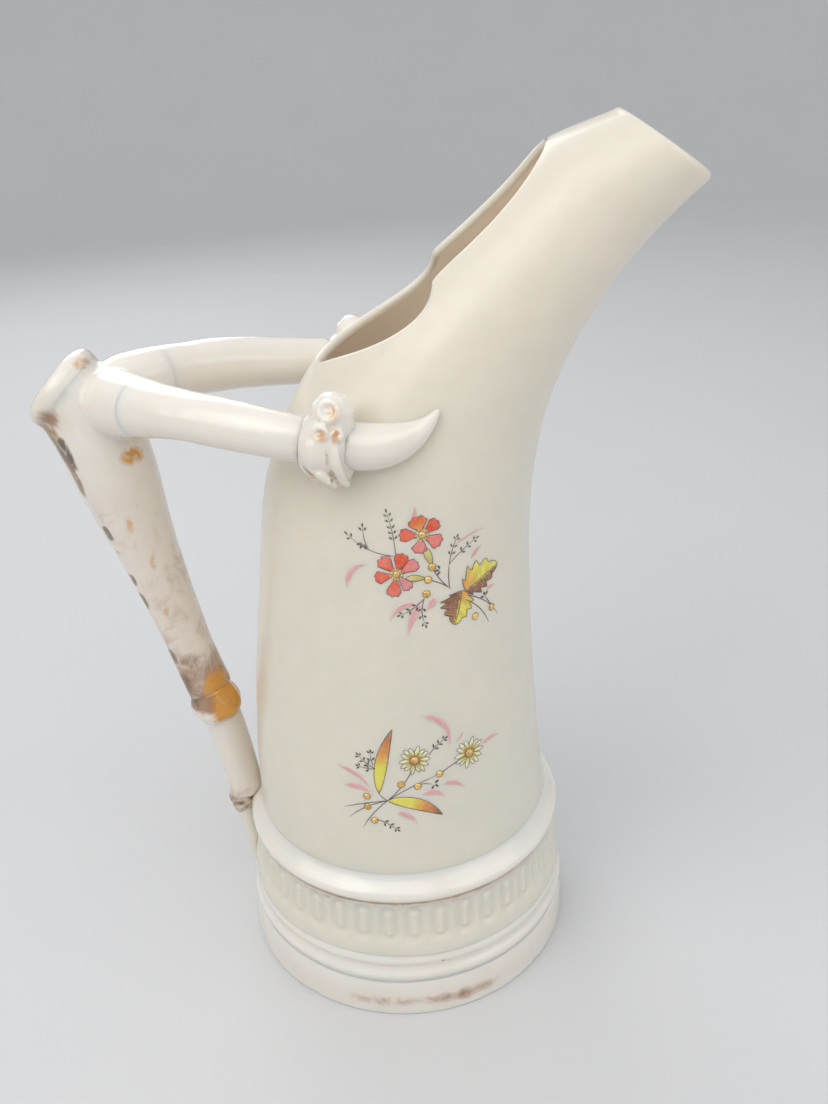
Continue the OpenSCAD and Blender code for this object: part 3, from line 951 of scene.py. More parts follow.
# gilt patches on either side of the handle: middle, half axes, amount, darkness
HANDLE_GILT = [
    # the crease between the burr and the knee, at the top
    ((-66.2, 4.2, 167.0), (6.4, 5.0, 2.0), 1.15, 0.15),
    ((-62.5, 2.5, 167.6), (5.0, 3.4, 1.6), 1.1, 0.65),
    # orange in the crotch under each arm, brown behind it
    ((-57.6, 8.0, 145.0), (5.6, 7.0, 3.4), 2.0, 0.08),
    ((-55.0, 6.0, 148.6), (3.0, 6.0, 4.0), 1.6, 0.75),
    # olive-brown under the burr
    ((-80.0, 6.5, 151.0), (6.0, 7.0, 4.0), 2.4, 0.6),
    # faint gold touches on the branch's side
    ((-62.5, 8.4, 128), (1.4, 4.0, 3.8), 0.75, 0.15),
    ((-59.0, 7.4, 117), (1.4, 4.0, 3.8), 0.75, 0.15),
    ((-58.0, 7.0, 103), (1.4, 4.0, 3.8), 0.75, 0.15),
    # gold over the inner side of the ring's shoulder, brown round it
    ((-48.4, 4.0, 76.8), (4.6, 6.5, 7.6), 1.9, 0.0),
    ((-56.0, 5.0, 78.0), (3.6, 5.0, 7.0), 1.2, 0.8),
    ((-54.5, 5.6, 86.5), (5.0, 4.4, 3.4), 0.85, 0.65),
]
# streaks running down the branch from under the burr: upper end, length
STREAKS = [((-77.6, 7.2, 149.0), 13), ((-76.2, 8.0, 146.6), 9), ((-75.0, 8.6, 149.6), 6)]


def handle_marks(p):
    """Gilding, its darkness and brown staining on the handle, as point values."""
    gold, z = Gilding(p, 0.25), p[:, 2]
    for sy in (-1, 1):
        gold.blobs(HANDLE_GILT, sy)
        for k, ((x, y, top), length) in enumerate(STREAKS):
            run = bow((x, top), (x + 0.32 * length, top - length), 0.05)
            d, w = near_path(p, np.c_[run[:, 0], np.full(len(run), sy * y), run[:, 1]])
            gold.add(np.clip(1 - d / 2.0, 0, 1) * (1 - 0.5 * w), 2.2, 0.7 + 0.12 * k)
        # broken dark dashes down its outer edge
        d, w = near_path(p, full_branch + radii_full[:, None] * [-0.62, 0.78 * sy, -0.1])
        dash = np.clip(np.sin(w * 52 + 0.8) * np.sin(w * 23 + 1.0) * 1.6, 0, 1) * (w > 0.25)
        gold.add(np.clip(1 - d / (1.5 + 0.9 * w), 0, 1) * dash, 2.6, 0.85)
    # blush all down the branch, brown mottling thickening towards the ring
    blush = np.clip((152 - z) / 18, 0, 1) * (0.34 + 0.14 * np.clip((128 - z) / 30, 0, 1))
    mottle = np.clip((104 - z) / 20, 0, 1) * 0.66
    under = 0.85 * blob(p * [1, 0, 1], (-76.5, 0, 155.5), (7, 6, 6))
    return gold.marks(np.maximum(np.maximum(blush, mottle) * (z > 70), under))


for key, (v, f, n) in handle.items():
    make(key + "_glazed", v, f, WHITE, [key], "white_glaze", handle_marks(v), n.tolist())

# collar where an arm meets its horn: a swollen cuff with a rosette on top and a pointed drip below


def ring_knob(at, axis, big, small):
    """A little raised ring."""
    m, k = 30, 12
    ax = unit(np.asarray(axis, float))
    out = ring_of(ax, unit(np.cross(ax, [0, 0, 1.0])), m)[1][:, None]
    b = (2 * math.pi * np.arange(k) / k)[None, :, None]
    verts = np.asarray(at) + out * (big + small * np.cos(b)) + ax * small * np.sin(b)
    return verts.reshape(-1, 3), grid_faces(m, k, loop_rows=True)


RIDGE = [(-8.6, -36.4, 159.6), (-8.4, -38.0, 156.0), (-8.0, -37.8, 152.4), (-7.3, -36.0, 149.4),
         (-6.7, -33.2, 147.2)]


def collar_wobble(u, a):
    return 0.25 * np.sin(3 * a + 1) + 0.15 * np.sin(5 * a + 6 * u)


def collar_parts():
    """The swollen cuff, its pointed drip and rosette, three knobs and two ridges."""
    return [
        tube(path_points(COLLAR, 0, 1, 20), [5.7, 7.2, 8.2, 8.0, 7.9, 6.6, 5.4], 40, collar_wobble),
        tube([(-9.6, -30.5, 154), (-9.0, -31.0, 150.8), (-8.2, -31.3, 148.4), (-7.2, -31.3, 146.6)],
             [6.4, 5.6, 3.6, 1.2], 28),
        tube([(-9.8, -31.2, 157), (-9.2, -31.8, 160.5), (-8.6, -32.0, 164.2), (-8.2, -31.8, 166.6)],
             [5.0, 5.0, 4.5, 2.6], 30),
        ring_knob((-9.2, -36.0, 164.4), (-0.15, -1.0, 0.45), 1.9, 0.7),
        ring_knob((-11.2, -37.6, 160.4), (-0.3, -1.0, 0.3), 1.3, 0.75),
        ring_knob((-7.6, -37.2, 159.8), (0.3, -1.0, 0.3), 0.9, 0.6),
        tube([(-13.6, -37.2, 152.6), (-11.8, -38.2, 151.6), (-10.0, -37.8, 150.0), (-8.8, -36.4, 148.0)],
             [0.7, 1.0, 1.0, 0.6], 16),
        tube(smooth_line(RIDGE), [0.8, 1.05, 1.1, 1.0, 0.8], 18)]


def mirrored(v, f):
    return v * [1, -1, 1], [x[::-1] for x in f]


# gilt patches and lines on the right collar
COLLAR_GILT = [((-8.4, -37.5, 164.6), (2.8, 4.2, 2.8), 0.8, 0.1),
               ((-10.8, -38.6, 160.4), (2.2, 3.0, 2.4), 0.85, 0.15),
               ((-8.0, -38.2, 160.0), (1.4, 3.0, 3.6), 0.9, 0.25)]
COLLAR_LINES = [
    ([(-15.0, -36.0, 152.6), (-13.4, -37.0, 151.2), (-12.2, -37.2, 152.2)], 0.75, 1.5, 0.9),
    ([(-14.6, -35.6, 150.8), (-13.2, -36.2, 149.8)], 0.8, 1.3, 0.2),
    ([(-12.2, -36.8, 148.8), (-10.2, -36.6, 147.8), (-8.6, -35.0, 146.8)], 1.2, 1.3, 0.7),
    ([(-10.0, -39.0, 156.6), (-9.8, -39.2, 153.4), (-9.2, -38.4, 150.2)], 0.8, 0.8, 0.75)]


def collar_marks(p):
    """The collar's marks; the left collar is marked like the right one, where y is negative."""
    q = np.c_[p[:, 0], -np.abs(p[:, 1]), p[:, 2]]
    gold = Gilding(q, 0.3)
    gold.blobs(COLLAR_GILT)
    for line, width, amount, darkness in COLLAR_LINES:
        gold.add(1 - near_path(q, line)[0] / width, amount, darkness)
    return gold.marks(0.42 * np.clip((160 - q[:, 2]) / 8, 0, 1) * np.clip((-q[:, 0] - 4) / 4, 0, 1))


def strand(path, u0, u1, n, radii, sides, voxel, rounds, wobble=None):
    """A fused skin round one part of a path."""
    return fuse([tube(path_points(path, u0, u1, n), radii, sides, wobble)], voxel, rounds)


def horn_wobble(u, a):
    return 0.18 * np.sin(2 * a + 1.2) * (1 - u)


collar_v, collar_f = fuse(collar_parts(), 0.28, 9)
horn_v, horn_f = strand(HORN, 0, 1, 40, [5.3, 5.3, 5.2, 4.9, 4.3, 3.5, 2.5, 1.5, 0.6], 36, 0.4, 5,
                        horn_wobble)
for side, name in ((-1, "right"), (1, "left")):
    for kind, v, f in (("collar", collar_v, collar_f), ("horn", horn_v, horn_f)):
        v, f = (v, f) if side < 0 else mirrored(v, f)
        marks = collar_marks(v) if kind == "collar" else {"stain": 0.12 * np.ones(len(v))}
        make(f"{name}_{kind}_glazed", v, f, WHITE, [f"{name}_{kind}"], "white_glaze", marks)

# cuff, lower stem, knuckle and tail


def cuff_wobble(u, a):
    return 0.3 * np.sin(2 * a + 0.8) + 0.22 * np.sin(5 * a + 3 * u) + 0.12 * np.sin(9 * a + 1)


def stem_wobble(u, a):
    return 0.14 * np.sin(3 * a + 3 * u)


def knuckle_wobble(u, a):
    return 0.25 * np.sin(3 * a + 4 * u)


def cuff_marks(p):
    """Gold on the cuff's inner lip, brown on its outer side."""
    x, z = p[:, 0], p[:, 2]
    gold = np.clip((x + 51.2) / 3.6, 0, 1) * 1.15 * np.clip((z - 66.2) / 2.4, 0, 1)
    either = np.c_[x, -np.abs(p[:, 1]), z]
    brown = blob(either, (-55.8, -4.5, 72.4), (3.6, 5.0, 3.4)) * 1.2
    stain = 0.75 * np.clip((z - 68.5) / 4, 0, 1) + 0.18
    return {"gilt": np.maximum(gold, brown), "dark": np.where(brown > gold, 0.9, 0.02), "stain": stain}


def stem_marks(p):
    gilt = 0.4 * blob(p, (-46.5, -1.5, 41.5), (5, 6, 3.4))
    stain = 0.35 * np.clip((48 - p[:, 2]) / 8, 0, 1) + 0.2
    return {"stain": stain, "gilt": gilt, "dark": np.full(len(p), 0.5)}


def knuckle_marks(p):
    gilt, dark = 0.3 + ripple3(p, 1.3, 0.5, 0.3), 0.55 + ripple3(p, 0.9, 0.4, 1.3)
    return {"gilt": np.clip(gilt, 0, 1), "dark": np.clip(dark, 0, 1), "stain": np.full(len(p), 0.6)}


def tail_marks(p):
    return {"stain": np.full(len(p), 0.25)}


for name, slot, marks, skin in (
        ("branch_cuff", "raised_gold", cuff_marks,
         strand(STEM_DOWN, -0.02, 0.3, 26, [5.5, 5.9, 6.3, 6.8, 7.1, 7.1, 6.6, 5.2], 44, 0.32, 3,
                cuff_wobble)),
        ("lower_stem", "white_glaze", stem_marks,
         strand(STEM_DOWN, 0.24, 1.0, 34, [5.3, 5.2, 5.0, 4.9, 4.8, 4.8], 36, 0.42, 4, stem_wobble)),
        ("stem_knuckle", "raised_gold", knuckle_marks,
         strand(KNUCKLE, -0.1, 1, 16, [4.6, 4.4, 3.8, 3.6, 3.3, 2.6], 32, 0.3, 3, knuckle_wobble)),
        ("stem_tail", "white_glaze", tail_marks,
         strand(TAIL, -0.06, 1.0, 24, [2.7, 2.6, 2.3, 2.1, 1.8, 1.2], 26, 0.3, 3))):
    make(name + "_glazed", *skin, WHITE, [name], slot, marks(skin[0]))

# ---------------------------------------------------------------- painted sprays
#
# A spray is laid out on the wall in millimetres from its own middle, along the wall towards
# the spout and up. The wall's curve carries it, so it is the same from every side.

INK, SLATE, SOOT, BARE = (70, 58, 66), (84, 92, 84), (48, 46, 52), (223, 218, 203)
PINK, ROSE, SALMON, CORAL, SCARLET = (221, 143, 150), (224, 132, 134), (232, 120, 106), (230, 92,
    58), (224, 70, 10)
YELLOW, LEMON, ORANGE, BROWN, MOSS = (226, 216, 78), (224, 212, 150), (220, 150, 60), (146, 90, 50), (186,
    170, 74)
PETAL_INK, FAINT_INK, LEAF_INK, BRANCHLET = (104, 66, 84), (104, 96, 78), (104, 92, 60), (86, 82, 92)
HATCH, VEIN, GOLD_TONE, GOLD_RING, STAMEN = (88, 48, 34), (96, 56, 40), (214, 170, 84), (128, 88,
    40), (112, 84, 40)
LIFTS = {"wash": 0.03, "leaf": 0.045, "petal": 0.06, "line": 0.085}      # how far each layer stands out
SUNK = 0.06             # how far the paint's underside lies inside the wall


def blend(a, b, t):
    t = np.clip(np.asarray(t, float), 0, 1)[..., None]
    return np.asarray(a, float) + (np.asarray(b, float) - np.asarray(a, float)) * t


def gradient(tones, t):
    """Colours of a run of tones spread evenly over t from 0 to 1."""
    at = np.linspace(0, 1, len(tones))
    return np.stack([np.interp(t, at, [tone[k] for tone in tones]) for k in range(3)], 1)


def polar(degrees, r=1.0):
    a = np.radians(degrees)
    return np.stack([r * np.cos(a), r * np.sin(a)], -1)


def offsets(line):
    """Unit normals to the left of a line."""
    d = unit(np.gradient(line, axis=0))
    return np.stack([-d[:, 1], d[:, 0]], 1)


def within(p, poly):
    """Which of the points p lie inside a polygon."""
    inside = np.zeros(len(p), bool)
    for (x0, y0), (x1, y1) in zip(poly, np.roll(poly, -1, 0)):
        if y0 != y1:
            spans = (y0 > p[:, 1]) != (y1 > p[:, 1])
            inside ^= spans & (p[:, 0] < (x1 - x0) * (p[:, 1] - y0) / (y1 - y0) + x0)
    return inside


class Spray:
    """Painted shapes gathered as thin closed skins on one side of the body."""

    def __init__(self, name, side, x, z):
        self.name, self.side, self.z = name, side, z
        s = np.linspace(0, 3, 300)
        front, rear = (np.interp(z, c[:, 1], c[:, 0]) for c in (outline(FRONT, s), outline(REAR, s)))
        self.middle, self.radius = (front + rear) / 2, (front - rear) / 2
        self.start = self.radius * math.asin((x - self.middle) / self.radius)
        self.skins = {"enamel": [], "gilding": []}

    def skin(self, uv, faces, lift, colour, layer="enamel"):
        lift = np.broadcast_to(np.asarray(lift, float), (len(uv),))
        self.skins[layer].append((uv, faces, lift,
                                  np.broadcast_to(np.asarray(colour, float), (len(uv), 3))))

    def ribbon(self, line, width, tone, kind="line", thin=(0.05, 0.3), edge=None):
        """A brushed line, thinning over the given shares of its ends; a wash fades to edge."""
        p = resample(line, 0.45)
        k = 3 if edge is None else 7
        t, across = np.linspace(0, 1, len(p)), np.linspace(-1, 1, k)
        w = width / 2 * np.clip(np.minimum((t + 0.03) / thin[0], (1.03 - t) / thin[1]), 0.12, 1) ** 0.8
        uv = (p[:, None] + offsets(p)[:, None] * (across[None, :, None] * w[:, None, None])).reshape(-1, 2)
        faces = grid_faces(len(p), k, loop_cols=False, flip=True)
        tt, aa = np.repeat(t, k), np.tile(across, len(p))
        colour = np.broadcast_to(np.asarray(tone, float), (len(uv), 3))
        if edge is not None:
            ends = np.clip(np.minimum(tt * 6, (1 - tt) * 3.5), 0, 1)
            colour = blend(edge, colour,
                           np.clip((1 - np.abs(aa)) * 2.2, 0, 1) * ends
                           * (0.82 + 0.18 * np.sin(aa * 5 + tt * 9)))
        self.skin(uv, faces, LIFTS[kind] - 0.02 * np.abs(aa), colour)

    def wash(self, start, end, bulge, width, strength=0.9):
        self.ribbon(bow(start, end, bulge), width * 1.2, blend(BARE, PINK, strength), "wash", (0.25, 0.6),
                    BARE)

    def patch(self, outline_uv, paint, kind, grid=0.55):
        """A filled shape whose colour paint(uv) gives."""
        poly = np.asarray(outline_uv, float)
        lo, hi = poly.min(0), poly.max(0)
        inner = np.stack(np.meshgrid(np.arange(lo[0], hi[0], grid), np.arange(lo[1], hi[1], grid)),
                         -1).reshape(-1, 2)
        inner = inner[within(inner, poly)]
        rim = resample(poly, grid / 2, True)
        if len(inner):
            inner = inner[np.linalg.norm(inner[:, None] - rim[None], axis=2).min(1) > grid * 0.42]
        points = [Vector(p) for p in np.vstack([poly, inner])]
        uv, _, faces, _, _, _ = geometry.delaunay_2d_cdt(points, [], [list(range(len(poly)))], 1, 1e-5)
        uv = np.array([c[:] for c in uv])
        self.skin(uv, [list(f) for f in faces], LIFTS[kind], paint(uv))

    def outlined(self, outline_uv, paint, kind, ink=INK, width=0.14):
        self.patch(outline_uv, paint, kind)
        self.ribbon(np.vstack([outline_uv, outline_uv[:1]]), width, ink, thin=(0.01, 0.01))

    def petal(self, at, angle, spread, length, near, far):
        """A fan with a toothed edge, streaked from its root outwards."""
        at, t = np.asarray(at, float), np.linspace(-1, 1, 17)
        edge = length * (1 - 0.16 * np.abs(t) ** 3 - 0.09 * np.abs(np.sin(t * 5 + angle)))
        fan = at + polar(angle + spread / 2 * t, edge)
        root = at + polar(np.array([angle + 16, angle - 16]), 0.22 * length)

        def paint(uv):
            d = uv - at
            turn = np.arctan2(d[:, 1], d[:, 0])
            reach = np.linalg.norm(d, axis=1) / length
            return blend(near, far, np.clip((reach - 0.3) * 1.7, 0, 1)
                         * (0.8 + 0.2 * np.sin(turn * 26 + angle)))

        self.outlined(np.vstack([fan, root]), paint, "petal", PETAL_INK)

    def flower(self, at, length, petals):
        """petals: (angle, spread, near tone, far tone) in order of painting; a gilt heart with stamens."""
        for k, (angle, spread, near, far) in enumerate(petals):
            self.petal(at, angle, spread, length * (1 + 0.07 * math.sin(2.7 * k + at[0])), near, far)
        at = np.asarray(at, float)
        self.patch(at + polar(np.arange(0, 360, 24), 1.5),
                   lambda uv: blend(ORANGE, LEMON, np.linalg.norm(uv - at, axis=1)), "petal")
        for a in range(0, 360, 33):
            self.ribbon(bow(at + polar(a, 0.7), at + polar(a + 6, 1.9 + 0.3 * math.sin(a))), 0.12, STAMEN)
        self.berry(at, 0.8)

    def daisy(self, at, length, petals=14):
        at = np.asarray(at, float)
        for k in range(petals):
            a, reach = 360 * k / petals + 5 * math.sin(k * 1.9), length * (1 + 0.06 * math.sin(k * 2.7))
            self.leaf(at + polar(a, 0.9), at + polar(a, reach), 0.62,
                      [MOSS, (228, 220, 132), (238, 233, 208), (238, 233, 208)], ink=FAINT_INK)
        self.patch(at + polar(np.arange(0, 360, 24), 1.4),
                   lambda uv: blend((170, 120, 48), BROWN, 0.5 * np.ones(len(uv))), "line")
        self.berry(at, 0.95, 0.5)

    def berry(self, at, r=0.85, height=0.42):
        """A raised drop of gold with a fine brown ring round it."""
        at, sides = np.asarray(at, float), 16
        share = np.repeat(np.linspace(0.2, 1, 5), sides)
        uv = np.vstack([at, at + polar(np.tile(np.arange(sides) * 360 / sides, 5), r * share)])
        lift = np.r_[height, height * np.sqrt(1 - 0.98 * share**2) + 0.01]
        faces = [[0, 1 + k, 1 + (k + 1) % sides] for k in range(sides)]
        faces += grid_faces(5, sides, first=1)
        self.skin(uv, faces, lift, GOLD_TONE, "gilding")
        self.ribbon(at + polar(np.linspace(0, 360, 15), r + 0.05), 0.14, GOLD_RING, thin=(0.01, 0.01))

    def leaf(self, start, end, half, tones, bulge=0.0, kind="leaf", ink=INK):
        """A lance-shaped leaf toned along its length."""
        rib = bow(start, end, bulge, 13)
        swell = np.sin(np.pi * np.linspace(0, 1, 13) ** 0.85)[:, None] ** 0.8
        w = half * swell * offsets(rib)
        a, d = rib[0], (rib[-1] - rib[0]) / np.sum((rib[-1] - rib[0]) ** 2)
        self.outlined(np.vstack([rib + w, (rib - w)[-2:0:-1]]), lambda uv: gradient(tones, (uv - a) @ d),
                      kind, ink, 0.12)

    def lobed_leaf(self, start, end, left, right, hatched):
        """A toothed leaf, one half yellow and the hatched half (1 left, -1 right) brown."""
        rib, t = bow(start, end, 0.04, 41), np.linspace(0, 1, 41)
        tooth = 0.66 + 0.5 * ((t * 4.6 + 0.5) % 1)
        swell = (np.sin(np.pi * t**0.75) ** 0.75 * tooth)[:, None] * offsets(rib)
        a, d = rib[0], (rib[-1] - rib[0]) / np.linalg.norm(rib[-1] - rib[0])

        def paint(uv):
            q = uv - a
            along, aside = q @ d / np.linalg.norm(rib[-1] - rib[0]), (d[0] * q[:, 1]
                - d[1] * q[:, 0]) * hatched
            fair = gradient([ORANGE, YELLOW, YELLOW],
                            along) * (1 - 0.05 * np.sin(along * 14 + aside * 2))[:, None]
            return np.where((aside > 0)[:, None], gradient([BROWN, (170, 112, 62), (196, 150, 84)], along),
                            fair)

        self.outlined(np.vstack([rib + left * swell, (rib - right * swell)[-2:0:-1]]), paint, "leaf")
        self.ribbon(rib, 0.15, INK)
        half = (left if hatched > 0 else -right) * swell
        for f in (0.2, 0.4, 0.6, 0.8):
            self.ribbon((rib + f * half)[2:-3], 0.11, HATCH, thin=(0.05, 0.1))
        for k in range(3, 38, 3):
            self.ribbon(bow(rib[k], rib[k] + 0.9 * half[k]), 0.1, VEIN)
        other = (-right if hatched > 0 else left) * swell
        for k in range(5, 34, 7):
            self.ribbon(bow(rib[k], rib[k + 3] + 0.75 * other[k + 3], 0.08), 0.1, MOSS)

    def blade(self, at, angle, length, tone):
        rib = bow(at, np.asarray(at, float) + polar(angle, length), 0, 7)
        w = 0.21 * length * np.sin(np.pi * np.linspace(0, 1, 7))[:, None] * offsets(rib)
        self.patch(np.vstack([rib + w, (rib - w)[-2:0:-1]]),
                   lambda uv: np.broadcast_to(np.asarray(tone, float), (len(uv), 3)), "line")

    def tuft(self, at, angles, length=1.25, tone=SLATE):
        for a in angles:
            self.blade(np.asarray(at, float) + polar(a, 0.3), a, length, tone)

    def sprig(self, start, end, bulge, pairs, length=1.1, tone=SLATE, first=0.35):
        """A twig with small leaves in pairs and one at its tip."""
        line = bow(start, end, bulge, 60)
        self.ribbon(line, 0.16, tone, thin=(0.05, 0.5))
        way = np.degrees(np.arctan2(*np.diff(line, axis=0).T[::-1]))
        for k in (np.linspace(first, 0.92, pairs) * 58).astype(int):
            self.tuft(line[k], (way[k] - 46, way[k] + 46), length * (1 - 0.2 * k / 58), tone)
        self.blade(line[-1], way[-1], length * 0.9, tone)

    def finish(self):
        """Lays every skin on the wall, closes it just under the glaze and makes the two pieces."""
        for layer, mat, slot in (("enamel", ENAMEL, "painted_enamel"),
                                 ("gilding", GILT_DROPS, "raised_gold")):
            uv = np.vstack([s[0] for s in self.skins[layer]])
            lift = np.concatenate([s[2] for s in self.skins[layer]])
            tone = np.vstack([s[3] for s in self.skins[layer]]) / 255
            x = self.middle + self.radius * np.sin((self.start + uv[:, 0]) / self.radius)
            on, out = on_body(x, self.z + uv[:, 1], self.side)
            faces, base, n = [], 0, len(uv)
            for shape_uv, shape_faces, _, _ in self.skins[layer]:
                f = [[base + i for i in face] for face in shape_faces]
                sides = {(a, b) for face in f for a, b in zip(face, face[1:] + face[:1])}
                faces += f + [[n + i for i in face[::-1]] for face in f]
                faces += [[b, a, n + a, n + b] for a, b in sorted(sides) if (b, a) not in sides]
                base += len(shape_uv)
            verts = np.vstack([on + out * lift[:, None], on - out * SUNK])
            ob = make(f"{self.name}_{layer}", verts, faces, mat, (), slot)
            tone = linear(tone)
            colours = ob.data.color_attributes.new("paint", "FLOAT_COLOR", "POINT")
            colours.data.foreach_set("color",
                                     np.tile(np.c_[tone, np.ones(n)], (2, 1)).astype(np.float32).ravel())


def enamel():
    """Overglaze enamel: the painted tones, uneven where the brush ran dry, and slightly raised."""
    t = Tree("painted_enamel")
    paint = t.new("ShaderNodeAttribute", attribute_name="paint").outputs["Color"]
    tone = t.mix(t.span(t.noise(900, 3, 0.6), 0.35, 0.75, 0.0, 0.14), paint, srgb(238, 230, 214))
    t.set("Base Color", t.mix(t.span(t.noise(420, 3, 0.6, distortion=0.5), 0.35, 0.75, 0.0, 0.10), tone,
                              srgb(150, 92, 70)))
    t.set("Roughness", t.span(t.noise(300, 2), 0.3, 0.7, 0.18, 0.28))
    t.set("Coat Weight", 0.6)
    t.set("Coat Roughness", 0.06)
    t.bump(t.noise(1300, 2), 0.12, 0.00012)
    return t.mat


def gilt_drops():
    """Raised gilt drops, brightest on top and browner where they are rubbed."""
    t = Tree("raised_gold")
    t.set("Base Color", t.mix(t.span(t.noise(700, 3), 0.35, 0.7), srgb(240, 208, 136), srgb(206, 158, 84)))
    t.set("Metallic", 0.6)
    t.set("Roughness", t.span(t.noise(1100, 2), 0.3, 0.7, 0.24, 0.4))
    t.bump(t.noise(1600, 2), 0.25, 0.00015)
    return t.mat


ENAMEL, GILT_DROPS = enamel(), gilt_drops()


def upper_spray(side, tag):
    """Two notched flowers, two lobed leaves, gilt berries and fine sprigs."""
    s = Spray(f"upper_spray_{tag}", side, 13, 122)
    for start, end, bulge, width in [
            ((-22, 0), (-16, 6), 0.22, 1.2), ((-7, 16), (-6, 19.5), -0.15, 0.9),
            ((3, 9), (11, 11), 0.06, 0.6),
            ((7, 4.5), (10, 7), 0.05, 1.0), ((11.5, -5), (14, -4.5), 0.1, 0.9),
            ((-6, -4), (-12.5, -8), -0.18, 1.3),
            ((-5, -4), (-8.5, -12), -0.08, 1.7), ((-2, -3), (-4.5, -6), 0.1, 1.6)]:
        s.wash(start, end, bulge, width)
    for start, end, bulge in [((-2.5, 4.5), (1.5, -1.5), -0.05), ((-3.5, 1.5), (2, -2), 0.06),
                              ((6, -4.5), (15, -12.5), 0.08),
                              ((5.5, -5.5), (12, -13.5), 0.08), ((1.5, -1.5), (1.5, 4.5), 0.03),
                              ((13, -9.5), (11, -6.5), 0.0)]:
        s.ribbon(bow(start, end, bulge), 0.2, INK)
    s.sprig((-10.5, 8.5), (-12, 18), -0.03, 5)
    s.sprig((-11, 8), (-21, 12.5), 0.08, 1, 1.2, first=0.92)
    s.sprig((-16.4, 9.5), (-17.5, 14.5), 0.06, 1, 1.2, first=0.85)
    s.tuft((-17.5, 11), (200, 240, 290), 1.4)
    s.sprig((1.5, 4.5), (3.5, 10.5), 0.04, 3)
    s.sprig((1.5, 4.5), (8.5, 9), 0.05, 3, first=0.45)
    s.tuft((-0.5, 3.5), (120, 180, 235), 1.2)
    s.sprig((-4.5, -3), (-10, -6.5), 0.06, 3, tone=SOOT)
    s.sprig((-4.5, -3), (-4.5, -9.5), -0.1, 3, tone=SOOT)
    s.tuft((11, -6.5), (60, 110, 170), 1.2, SOOT)
    s.leaf((-4, 9.5), (-2.5, 5), 0.85, [LEMON, MOSS], ink=LEAF_INK)
    s.leaf((-8.5, 2.5), (-4, 2), 0.8, [LEMON, MOSS], ink=LEAF_INK)
    s.lobed_leaf((5.5, -3.5), (15, 0.5), 4.8, 3.2, -1)
    s.lobed_leaf((4.5, -3), (2.5, -11), 3.2, 4.6, -1)
    s.flower((-4.5, 12.5), 4.9, [
        (176, 46, CORAL, CORAL), (-102, 58, ROSE, SALMON), (-30, 52, SALMON, SALMON),
        (106, 72, ORANGE, SCARLET), (38, 50, SCARLET, SCARLET)])
    s.flower((-10.5, 3.5), 5.4, [
        (28, 42, SALMON, ROSE), (-52, 40, ROSE, PINK), (-100, 44, CORAL, SALMON),
        (190, 44, CORAL, CORAL), (130, 48, CORAL, SALMON), (72, 46, SCARLET, SCARLET)])
    for at in [(-2.5, 4.5), (-3.5, 1.5), (-4, -2), (13, -10), (8, -10.5)]:
        s.berry(at)
    s.finish()


def lower_spray(side, tag):
    """Two yellow daisies and two lance leaves on crossing stems, with berries and sprigs."""
    s = Spray(f"lower_spray_{tag}", side, 2, 70)
    for start, end, bulge, width in [
            ((5, 19), (11.5, 8.5), 0.22, 1.5), ((15.5, 12), (13, 9.5), 0.08, 0.5),
            ((20.5, 6), (26.5, 6.5), 0.14, 1.1),
            ((-16, 5), (-7.5, -1.5), 0.12, 1.0), ((-14.5, -0.5), (-7.5, -2.5), 0.16, 1.5),
            ((9.5, -1), (15.5, -4), 0.14, 1.2), ((4.5, -3), (10.5, -5), 0.16, 1.4),
            ((-2, -7.5), (3, -11.5), 0.14, 1.4)]:
        s.wash(start, end, bulge, width)
    node = (-4, -4)
    for start, end, bulge in [(node, (-15, -7), -0.04), (node, (-14, -10), -0.08),
                              (node, (-10.5, -12.5), -0.05), (node, (9, 2), 0.05),
                              ((9, 2), (16, 5), 0.03), (node, (3, 6), -0.06), (node, (-6, -2), 0.05),
                              ((3.5, 0), (7, -0.5), 0.08)]:
        s.ribbon(bow(start, end, bulge), 0.2, BRANCHLET)
    for start, end, pairs in [
            ((-6.5, 5), (-10.5, 5.5), 2), ((-6.5, 5), (-10.5, 8.5), 3), ((-7, 6), (-7.5, 9.5), 2),
            ((6.5, 8), (10.5, 11.5), 3), ((-7, -9.5), (-2, -12.5), 3)]:
        s.sprig(start, end, 0.05, pairs, 1.15, SOOT)
    s.tuft((7.5, -0.5), (40, 250, 320), 1.25, SOOT)
    s.leaf((-6, -2), (-2, 16), 1.5, [YELLOW, YELLOW, YELLOW, ORANGE, (196, 112, 50), (150, 148, 136)], 0.05)
    s.leaf(node, (9.5, -10), 1.6, [YELLOW, YELLOW, YELLOW, ORANGE, (190, 112, 54), (96, 84, 76)], 0.1)
    s.daisy((3, 7), 3.9)
    s.daisy((17, 5.5), 4.2)
    for at in [(-0.5, 0.5), (3.5, -0.5), (9, 2), (-9, -3), (-9, -6), (-7.5, -10)]:
        s.berry(at)
    s.finish()


for side, tag in ((-1, "right"), (1, "left")):
    upper_spray(side, tag)
    lower_spray(side, tag)

# ---------------------------------------------------------------- floor, light, camera


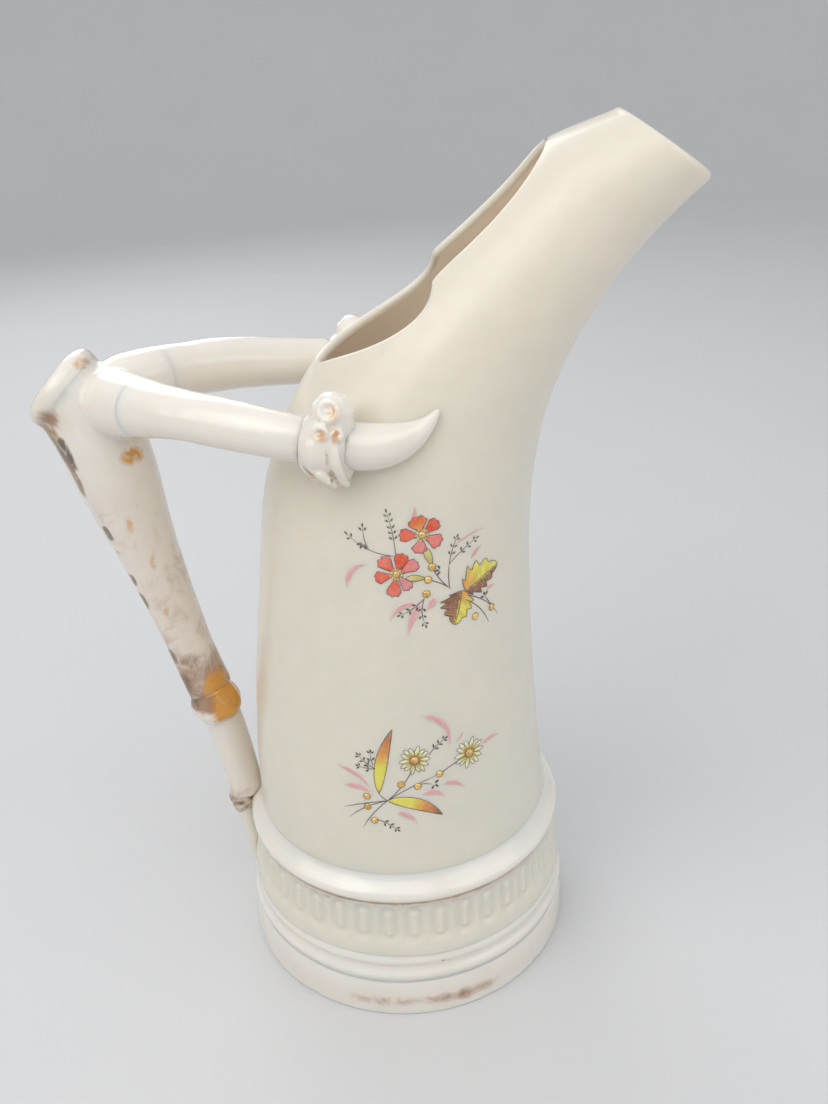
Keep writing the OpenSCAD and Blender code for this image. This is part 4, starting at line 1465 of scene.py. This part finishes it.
def studio_floor():
    """A pale round sweep: flat under the jug, rising all round like a studio cove."""
    flat, bend, top, rows, n = 1.3, 0.8, 1.5, 14, 72        # metres, then the counts of rows and columns
    a = np.radians(np.arange(7.5, 91, 7.5))
    reach = np.r_[np.linspace(0.05, flat, rows), flat + bend * np.sin(a), flat + bend]
    height = np.r_[np.zeros(rows), bend - bend * np.cos(a), top]
    turn = np.linspace(0, 2 * math.pi, n, endpoint=False)
    verts = [(0.0, 0.0, 0.0)] + [(r * math.cos(a), r * math.sin(a), z) for r, z in zip(reach, height)
                                 for a in turn]
    faces = [[0, 1 + k, 1 + (k + 1) % n] for k in range(n)] + grid_faces(len(reach), n, first=1)
    me = bpy.data.meshes.new("studio_floor")
    me.from_pydata(verts, [], faces)
    me.polygons.foreach_set("use_smooth", np.ones(len(me.polygons), bool))
    ob = bpy.data.objects.new("studio_floor", me)
    scene.collection.objects.link(ob)
    t = Tree("pale_floor")
    t.set("Base Color", t.mix(t.noise(9, 3), srgb(206, 207, 208), srgb(212, 212, 212)))
    t.set("Roughness", 0.6)
    t.bump(t.noise(700, 2), 0.05, 0.0005)
    me.materials.append(t.mat)


studio_floor()


def area_light(name, at, aim, size, power, colour):
    data = bpy.data.lights.new(name, "AREA")
    data.size = size
    data.energy, data.color = power, colour
    ob = bpy.data.objects.new(name, data)
    ob.location = at
    ob.rotation_euler = (Vector(aim) - Vector(at)).to_track_quat("-Z", "Y").to_euler()
    scene.collection.objects.link(ob)


area_light("key_light", (-0.72, -0.52, 0.78), (0, 0, 0.12), 0.85, 3.3, (1.0, 0.975, 0.94))
area_light("fill_light", (0.75, -0.45, 0.45), (0, 0, 0.11), 0.8, 2.0, (0.96, 0.98, 1.0))
area_light("top_light", (-0.15, -0.5, 0.9), (0, 0, 0.16), 0.9, 2.6, (1.0, 0.99, 0.97))
area_light("back_light", (-0.35, 0.75, 0.6), (0, 0, 0.14), 0.6, 1.8, (0.95, 0.97, 1.0))

world = bpy.data.worlds.new("studio_air")
scene.world = world
world.use_nodes = True
world.node_tree.nodes["Background"].inputs[0].default_value = srgb(222, 223, 226)
world.node_tree.nodes["Background"].inputs[1].default_value = 1.0

camera = bpy.data.objects.new("camera", bpy.data.cameras.new("camera"))
scene.collection.objects.link(camera)
forward = Vector((-0.02829, 0.89389, -0.44739)).normalized()
right = forward.cross(Vector((0.02803, 0.4481, 0.89354))).normalized()
up = right.cross(forward)
turn = Matrix((right, up, -forward)).transposed().to_4x4()
camera.matrix_world = Matrix.Translation(Vector((13.3, -238.4, 233.4)) * MM) @ turn
camera.data.lens = 34.24
camera.data.sensor_width = 36.0
camera.data.clip_start = 0.01
scene.camera = camera
scene.view_settings.view_transform = "Standard"
